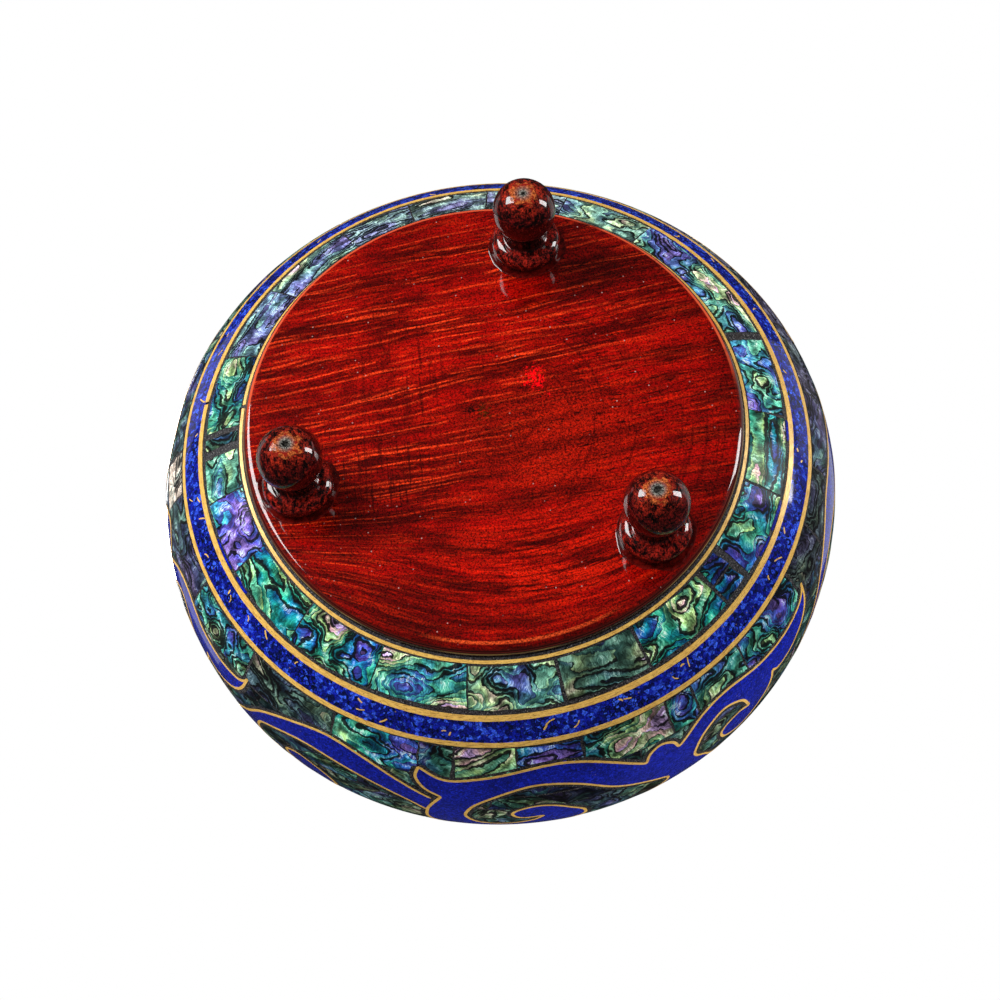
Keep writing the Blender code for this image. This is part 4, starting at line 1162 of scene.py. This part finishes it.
# The second place's arch starts farther left, at the third scroll
LONG_ARCH, LONG_ARCH_OUT = 1, 0.0435
ARCH_OUTER = ((286.5, 38.5), (292, 33), (298, 28.7), (305, 26.8), (312, 29.5), (318, 35), (322, 43), (325.3, 50),
              (326.3, 56), (323, 61), (317.5, 61.5), (314.6, 58.5), (316.2, 55.2))
ARCH_INNER = ((316.2, 55.2), (318.6, 55.5), (320.3, 51.0), (319.6, 45), (317.6, 40.5), (312, 35.6), (306, 34.4),
              (297, 37.4), (291, 41.8), (287.5, 46.8))
ARCH_END = ((287.5, 46.8), (286.5, 38.5))
LEAF = ((309.0, 60.0), (304.6, 55.5), (305.4, 49.0), (310, 44.6), (313.4, 47.2), (313.4, 51.6), (310.6, 55.8),
        (309.0, 60.0))


def short_arm(x, y):
    """Draws a scroll's left arm in and lets it down."""
    left = max(SCROLL_CENTRE - x, 0.0)
    return x + left * SHORT_ARM_IN, y + left * SHORT_ARM_DOWN


def long_arch(x, y):
    """Draws an arch's left end out, so that it starts at the scroll before it."""
    left = max(ARCH_CENTRE - x, 0.0)
    return x - left * left * LONG_ARCH_OUT, y


def moved_stroke(stroke, shift, change=None):
    """A stroke at its place round the box, with a change to its points first."""
    points = []
    for point in smooth_stroke(stroke):
        x, y = change(*point) if change else point
        points.append((x + shift, y * SCROLL_STRETCH + SCROLL_ORIGIN))
    return points


def outline_of(strokes, shift, change=None):
    """The points round a shape whose strokes follow each other."""
    points = []
    for stroke in strokes:
        points += moved_stroke(stroke, shift, change)[:-1]
    return points


def make_scrolls():
    """Lapis scrolls and arches with brass wire round them, on a margin of resin."""
    width = sizes().wire_width / MM
    margins = new_flat()

    def lay(name, shapes, wired, shift, change=None):
        """Lays the stone of some shapes, and the wires along some strokes."""
        stone, metal = new_flat(), new_flat()
        for strokes in shapes:
            join_into(stone, plate(outline_of(strokes, shift, change), STONE_LAYER))
        for stroke in wired:
            path = moved_stroke(stroke, shift, change)
            join_into(metal, wire(path, width, WIRE_LAYER))
            join_into(margins, wire(path, MARGIN_WIDTH, MARGIN_LAYER))
        for bm, kind, finish_name, slot in ((stone, "lapis", "lapis_fine", "lapis"),
                                            (metal, "wire", "brass", "brass")):
            wrap_on_box(bm)
            finish_piece(bm, f"{name}_{kind}", finish_name, ["belly_inlay"])

    for index, place in enumerate(SCROLL_PLACES):
        strokes = list(SCROLL_STROKES)
        if index == SHORT_PLACE:
            strokes[1:3] = WIDE_HUMP
        wired = [stroke for i, stroke in enumerate(strokes) if i != BARE_STROKE]
        lay(f"scroll_{index + 1}", [strokes], wired, place - SCROLL_CENTRE,
            short_arm if index == SHORT_PLACE else None)
    for index, place in enumerate(ARCH_PLACES):
        shapes = [(ARCH_OUTER, ARCH_INNER, ARCH_END), (LEAF,)]
        lay(f"arch_{index + 1}", shapes, (ARCH_OUTER, ARCH_INNER, LEAF), place - ARCH_CENTRE,
            long_arch if index == LONG_ARCH else None)
    wrap_on_box(margins)
    finish_piece(margins, "scroll_resin_margins", "resin", ["belly_inlay"])


# How far the pieces of the courses and of the row keep from their joints, in degrees
COURSE_INSET, ROW_INSET = 0.16, 0.25
# How far the row and the courses below it lie from the scrolls' beginning, and what a course takes, in millimetres
ROW_ENDS, COURSES_FROM, COURSE_STEP, COURSE_DEPTH = (28.8, 29.8), 29.7, 6.9, 6.8
# The lapis middle of the lid's medallion reaches this far from the pole, along the curve
MEDALLION_MIDDLE = 9.0


def shell_courses(name, courses, seed, node, round_from=0.0, narrowing=False):
    """Courses of sawn shell from an angle on, whose pieces' patterns narrow with the box or keep their width.

    Each course has a first and last distance, a count, a least and greatest brightness, milkiness and slant.
    """
    whole = new_flat()
    for row, (low, high, count, dim, bright, milk, skew) in enumerate(courses):
        draw = random.Random(seed * 100 + row)
        width = 360.0 / count
        per_degree = math.radians(skin_radius((low + high) / 2)) if narrowing else MM_PER_DEGREE
        joints = [round_from + (i + draw.uniform(-0.26, 0.26)) * width for i in range(count)]
        joints.append(joints[0] + 360.0)
        leans = [draw.uniform(-skew, skew) for _ in range(count)]
        leans.append(leans[0])
        for i in range(count):
            first, last = joints[i] + COURSE_INSET, joints[i + 1] - COURSE_INSET
            look = (draw.uniform(-0.16, 0.10), draw.uniform(dim, bright), draw.uniform(0.3, 1.0) * milk,
                    draw.uniform(0.0, 1.0))
            bite = [draw.uniform(0.0, 0.5) for _ in range(4)]
            corners = ((first + leans[i], low + bite[0]), (last + leans[i + 1], low + bite[1]),
                       (last - leans[i + 1], high - bite[2]), (first - leans[i], high - bite[3]))
            cells = (max(2, round((last - first) / 2.0)), max(2, round((high - low) / 2.0)))
            join_into(whole, scrap(corners, cells, look, seed * 50 + row * 60 + i + 0.5, COURSE_LAYER, 0.5,
                                   draw.uniform(-1.6, 1.6), per_degree))
    wrap_on_box(whole)
    finish_piece(whole, name, "shell", [node])


def make_belly_field():
    """The resin bed, the row of shell under the belly ring and the darker shell below it."""
    bed = ring_sheet((BELLY_FIELD[0] - 0.4, BELLY_FIELD[1] + 0.3), BELLY_BED, rows=24, bow=(BELLY_RING_BOW, 0.0))
    finish_piece(bed, "belly_resin_bed", "resin", ["belly_inlay"])
    whole = new_flat()
    for index, (begin, *look) in enumerate(ROW_LOOKS[:-1]):
        first, last = begin + ROW_INSET, ROW_LOOKS[index + 1][0] - ROW_INSET
        draw = random.Random(index + 11)
        off = BELLY_RING_BOW * bowed(math.radians((first + last) / 2))
        low, high = BELLY_FIELD[0] + off + draw.uniform(0.25, 0.8), SCROLL_ORIGIN + draw.uniform(*ROW_ENDS)
        lean = draw.uniform(-0.4, 0.4)
        corners = ((first, low), (last, low + draw.uniform(-0.2, 0.2)), (last + lean, high), (first + lean, high))
        join_into(whole, scrap(corners, (max(4, round((last - first) / 1.5)), 7), tuple(look[:4]), index + 71.0,
                               ROW_LAYER, 0.35, look[4]))
    wrap_on_box(whole)
    finish_piece(whole, "belly_shell_row", "shell", ["belly_inlay"])
    starts = [SCROLL_ORIGIN + COURSES_FROM + i * COURSE_STEP for i in range(5)]
    courses = [(start, start + COURSE_DEPTH, 34, 0.04, 0.52, 0.50, 2.6) for start in starts]
    shell_courses("belly_shell_field", courses, 3, "belly_inlay")


def make_lid_field():
    """The lid's shell field, in three courses on a bed of resin."""
    bed = ring_sheet((LID_FIELD[0] - 0.3, LID_FIELD[1] + 0.3), LID_BED, rows=16)
    finish_piece(bed, "lid_field_bed", "resin", ["lid_abalone_field"])
    depth = (LID_FIELD[1] - LID_FIELD[0] - 0.4) / 3
    courses = [(LID_FIELD[0] + 0.2 + i * depth, LID_FIELD[0] + 0.2 + (i + 1) * depth, 24, 0.55, 1.0, 0.35, 0.8)
               for i in range(3)]
    shell_courses("lid_shell_field", courses, 5, "lid_abalone_field", 4.0, True)


def make_medallion():
    """The shell medallion on the lid's crown, with a lapis middle in a brass ring."""
    edge, middle = MEDALLION_AT, POLE_AT - MEDALLION_MIDDLE
    bed = stretch(POLE_AT, edge - 0.3, 0.12, 24) + stretch(edge - 0.3, POLE_AT, SKIN_THICKNESS, 6)
    finish_piece(turned_shape(bed, TURN_STEPS), "medallion_bed", "resin", ["lid_medallion"])
    depth = (middle - edge) / 4
    courses = [(edge + i * depth, edge + (i + 1) * depth, count, 0.55, 1.05, 0.3, 0.8)
               for i, count in enumerate((18, 15, 11, 8))]
    shell_courses("medallion_shell", courses, 8, "lid_medallion", 11.0, True)
    stone = stretch(POLE_AT, middle + 0.6, 0.03, 6) + stretch(middle + 0.6, POLE_AT, 1.0, 3)
    finish_piece(turned_shape(stone, TURN_STEPS), "medallion_lapis", "lapis_fine", ["lid_medallion"])
    brass_ring("medallion_ring", (middle - 0.2, middle + 0.9), "lid_medallion", 9.0, 0.0)


# Stage

# The camera of the photograph, in metres and its own directions
CAMERA_RIGHT = Vector((-0.9942, -0.0973, 0.0460))
CAMERA_UP = Vector((-0.1077, 0.8988, -0.4249))
CAMERA_BACK = Vector((0.0, -0.4274, -0.9041))
CAMERA_PLACE = Vector((0.0002, -0.2163, -0.3912))
CAMERA_LENS, CAMERA_SENSOR = 72.56, 36.0
# Half the floor's width in metres, and how much it shines by itself
STAGE_REACH, FLOOR_SHINE = 9.0, 0.22
# How bright the room is in the gloss, in the light on the box, and behind it
ROOM_IN_GLOSS, ROOM_LIGHT, ROOM_BEHIND = 0.03, 0.50, 1.0
# What the lights point at, in metres
LIT_POINT = Vector((0.0, 0.0, 0.04))


def make_camera():
    """A camera that looks up at the box as the photograph's does."""
    camera = bpy.data.cameras.new("photo_camera")
    camera.lens, camera.sensor_width = CAMERA_LENS, CAMERA_SENSOR
    camera.clip_start, camera.clip_end = 0.01, 20.0
    holder = new_object("photo_camera", camera)
    back = CAMERA_BACK.normalized()
    right = (CAMERA_RIGHT - back * CAMERA_RIGHT.dot(back)).normalized()
    up = back.cross(right)
    turn = Matrix((right, up, back)).transposed()
    holder.matrix_world = Matrix.Translation(CAMERA_PLACE) @ turn.to_4x4()
    bpy.context.scene.camera = holder


def softbox(name, direction, distance, size, energy, roll=0.0):
    """A soft light that the camera doesn't see, in a direction from the box and at a distance in metres."""
    lamp = bpy.data.lights.new(name, "AREA")
    lamp.shape, lamp.size, lamp.size_y, lamp.energy = "RECTANGLE", size[0], size[1], energy
    holder = new_object(name, lamp)
    direction = Vector(direction).normalized()
    holder.location = LIT_POINT + direction * distance
    holder.rotation_mode = "QUATERNION"
    holder.rotation_quaternion = direction.to_track_quat("Z", "Y") @ Quaternion((0.0, 0.0, 1.0), roll)
    holder.visible_camera = False
    return holder


def from_photo(right, up, back):
    """A direction given as the camera of the photograph sees it."""
    return CAMERA_RIGHT * right + CAMERA_UP * up + CAMERA_BACK * back


def make_lights():
    """Two windows, two cards that show in the gloss alone, and soft light from above."""
    softbox("left_window", from_photo(-0.71, 0.51, 0.48), 0.75, (0.30, 0.42), 6.3)
    softbox("right_window", from_photo(0.89, 0.38, 0.23), 0.75, (0.17, 0.38), 3.0)
    for card in (softbox("right_card", from_photo(0.795, 0.205, -0.571), 0.8, (0.38, 0.79), 0.50, -0.15),
                 softbox("left_card", from_photo(-0.782, 0.09, -0.617), 0.8, (0.31, 0.85), 0.42, 0.75)):
        card.visible_diffuse = False
    for overhead in (softbox("top_window", (-0.5, -0.45, 0.8), 0.9, (0.5, 0.5), 8.0),
                     softbox("top_fill", (0.75, -0.2, 0.55), 1.0, (0.4, 0.6), 4.0)):
        overhead.visible_glossy = False
    softbox("top_glint", (0.35, 0.45, 0.82), 0.9, (0.16, 0.22), 1.6)


def make_world():
    """White behind the box, soft light all round it, and a dark room in its gloss."""
    world = bpy.data.worlds.new("studio")
    bpy.context.scene.world = world
    world.use_nodes = True
    tree = world.node_tree
    background = tree.nodes["Background"]
    path = tree.nodes.new("ShaderNodeLightPath")
    level = None
    for flag, strength in (("Is Glossy Ray", ROOM_IN_GLOSS), ("Is Camera Ray", ROOM_BEHIND)):
        pick = tree.nodes.new("ShaderNodeMix")
        tree.links.new(path.outputs[flag], pick.inputs[0])
        pick.inputs[2].default_value, pick.inputs[3].default_value = ROOM_LIGHT, strength
        if level:
            tree.links.new(level, pick.inputs[2])
        level = pick.outputs[0]
    tree.links.new(level, background.inputs["Strength"])
    background.inputs["Color"].default_value = (1.0, 1.0, 1.0, 1.0)


def make_floor():
    """A pale floor under the feet that shows from above only, so that the picture can look up through it."""
    material = bpy.data.materials.new("pale_floor")
    material.use_nodes = True
    tree = material.node_tree
    shader, out = tree.nodes["Principled BSDF"], tree.nodes["Material Output"]
    for socket, value in (("Base Color", (0.80, 0.80, 0.79, 1.0)), ("Roughness", 0.7),
                          ("Emission Color", (1.0, 1.0, 1.0, 1.0)), ("Emission Strength", FLOOR_SHINE)):
        shader.inputs[socket].default_value = value
    clear = tree.nodes.new("ShaderNodeBsdfTransparent")
    side = tree.nodes.new("ShaderNodeNewGeometry")
    pick = tree.nodes.new("ShaderNodeMixShader")
    tree.links.new(side.outputs["Backfacing"], pick.inputs[0])
    tree.links.new(shader.outputs[0], pick.inputs[1])
    tree.links.new(clear.outputs[0], pick.inputs[2])
    tree.links.new(pick.outputs[0], out.inputs["Surface"])
    bm = bmesh.new()
    bmesh.ops.create_grid(bm, x_segments=1, y_segments=1, size=STAGE_REACH)
    mesh = mesh_of(bm, "floor")
    mesh.materials.append(material)
    floor = new_object("floor", mesh)
    floor.visible_shadow = floor.visible_diffuse = floor.visible_glossy = floor.visible_transmission = False


def make_stage():
    """The camera, the lights, the room and the floor."""
    make_camera()
    make_lights()
    make_world()
    make_floor()
    bpy.context.scene.view_settings.view_transform = "Standard"
    bpy.context.scene.view_settings.look = "None"


# Operators


class JEWELRYBOX_OT_base_disc(bpy.types.Operator):
    """Makes the lacquered wooden disc under the box"""

    bl_idname = "jewelrybox.base_disc"
    bl_label = "Base Disc"

    def execute(self, context):
        make_base_disc()
        return {"FINISHED"}


class JEWELRYBOX_OT_feet(bpy.types.Operator):
    """Makes the three turned ball feet"""

    bl_idname = "jewelrybox.feet"
    bl_label = "Feet"

    def execute(self, context):
        make_feet()
        return {"FINISHED"}


class JEWELRYBOX_OT_lacquer_pools(bpy.types.Operator):
    """Makes the pooled lacquer round the feet"""

    bl_idname = "jewelrybox.lacquer_pools"
    bl_label = "Lacquer Pools"

    def execute(self, context):
        make_lacquer_pools()
        return {"FINISHED"}


class JEWELRYBOX_OT_bowl(bpy.types.Operator):
    """Makes the turned wooden bowl"""

    bl_idname = "jewelrybox.bowl"
    bl_label = "Bowl"

    def execute(self, context):
        make_bowl()
        return {"FINISHED"}


class JEWELRYBOX_OT_lid_core(bpy.types.Operator):
    """Makes the turned wooden dome of the lid"""

    bl_idname = "jewelrybox.lid_core"
    bl_label = "Lid Core"

    def execute(self, context):
        make_lid_core()
        return {"FINISHED"}


class JEWELRYBOX_OT_brass_rings(bpy.types.Operator):
    """Makes the brass rings between the bands"""

    bl_idname = "jewelrybox.brass_rings"
    bl_label = "Brass Rings"

    def execute(self, context):
        make_brass_rings()
        return {"FINISHED"}


class JEWELRYBOX_OT_abalone_band(bpy.types.Operator):
    """Makes the band of cut shell tiles and its bed"""

    bl_idname = "jewelrybox.abalone_band"
    bl_label = "Abalone Band"

    def execute(self, context):
        make_abalone_band()
        return {"FINISHED"}


class JEWELRYBOX_OT_lapis_bands(bpy.types.Operator):
    """Makes the bands of crushed lapis and their shavings"""

    bl_idname = "jewelrybox.lapis_bands"
    bl_label = "Lapis Bands"

    def execute(self, context):
        make_lapis_bands()
        return {"FINISHED"}


class JEWELRYBOX_OT_belly_field(bpy.types.Operator):
    """Makes the shell field of the belly"""

    bl_idname = "jewelrybox.belly_field"
    bl_label = "Belly Field"

    def execute(self, context):
        make_belly_field()
        return {"FINISHED"}


class JEWELRYBOX_OT_scrolls(bpy.types.Operator):
    """Makes the lapis scrolls, the arches and their wires"""

    bl_idname = "jewelrybox.scrolls"
    bl_label = "Scrolls"

    def execute(self, context):
        make_scrolls()
        return {"FINISHED"}


class JEWELRYBOX_OT_lid_field(bpy.types.Operator):
    """Makes the shell field of the lid"""

    bl_idname = "jewelrybox.lid_field"
    bl_label = "Lid Field"

    def execute(self, context):
        make_lid_field()
        return {"FINISHED"}


class JEWELRYBOX_OT_medallion(bpy.types.Operator):
    """Makes the medallion on the lid's crown"""

    bl_idname = "jewelrybox.medallion"
    bl_label = "Medallion"

    def execute(self, context):
        make_medallion()
        return {"FINISHED"}


class JEWELRYBOX_OT_stage(bpy.types.Operator):
    """Makes the camera, the lights and the floor"""

    bl_idname = "jewelrybox.stage"
    bl_label = "Stage"

    def execute(self, context):
        make_stage()
        return {"FINISHED"}


OPERATORS = (JEWELRYBOX_OT_base_disc, JEWELRYBOX_OT_feet, JEWELRYBOX_OT_lacquer_pools, JEWELRYBOX_OT_bowl,
             JEWELRYBOX_OT_lid_core, JEWELRYBOX_OT_brass_rings, JEWELRYBOX_OT_abalone_band, JEWELRYBOX_OT_lapis_bands,
             JEWELRYBOX_OT_belly_field, JEWELRYBOX_OT_scrolls, JEWELRYBOX_OT_lid_field, JEWELRYBOX_OT_medallion,
             JEWELRYBOX_OT_stage)


class VIEW3D_PT_jewelry_box(bpy.types.Panel):
    """Lists the pieces of the jewelry box"""

    bl_label = "Jewelry Box"
    bl_space_type = "VIEW_3D"
    bl_region_type = "UI"
    bl_category = "Jewelry Box"

    def draw(self, context):
        settings = context.scene.jewelry_box
        for group in (settings.colours, settings.sizes):
            box = self.layout.box()
            for key in group.__annotations__:
                box.prop(group, key)
        for made in OPERATORS:
            self.layout.operator(made.bl_idname)


CLASSES = (JewelryBoxColours, JewelryBoxSizes, JewelryBoxSettings, *OPERATORS, VIEW3D_PT_jewelry_box)


def register():
    for cls in CLASSES:
        bpy.utils.register_class(cls)
    bpy.types.Scene.jewelry_box = PointerProperty(type=JewelryBoxSettings)


def unregister():
    del bpy.types.Scene.jewelry_box
    for cls in reversed(CLASSES):
        bpy.utils.unregister_class(cls)


def main():
    """Makes every piece and the stage, in order."""
    register()
    for made in OPERATORS:
        getattr(bpy.ops.jewelrybox, made.bl_idname.split(".")[1])()


if __name__ == "__main__":
    main()
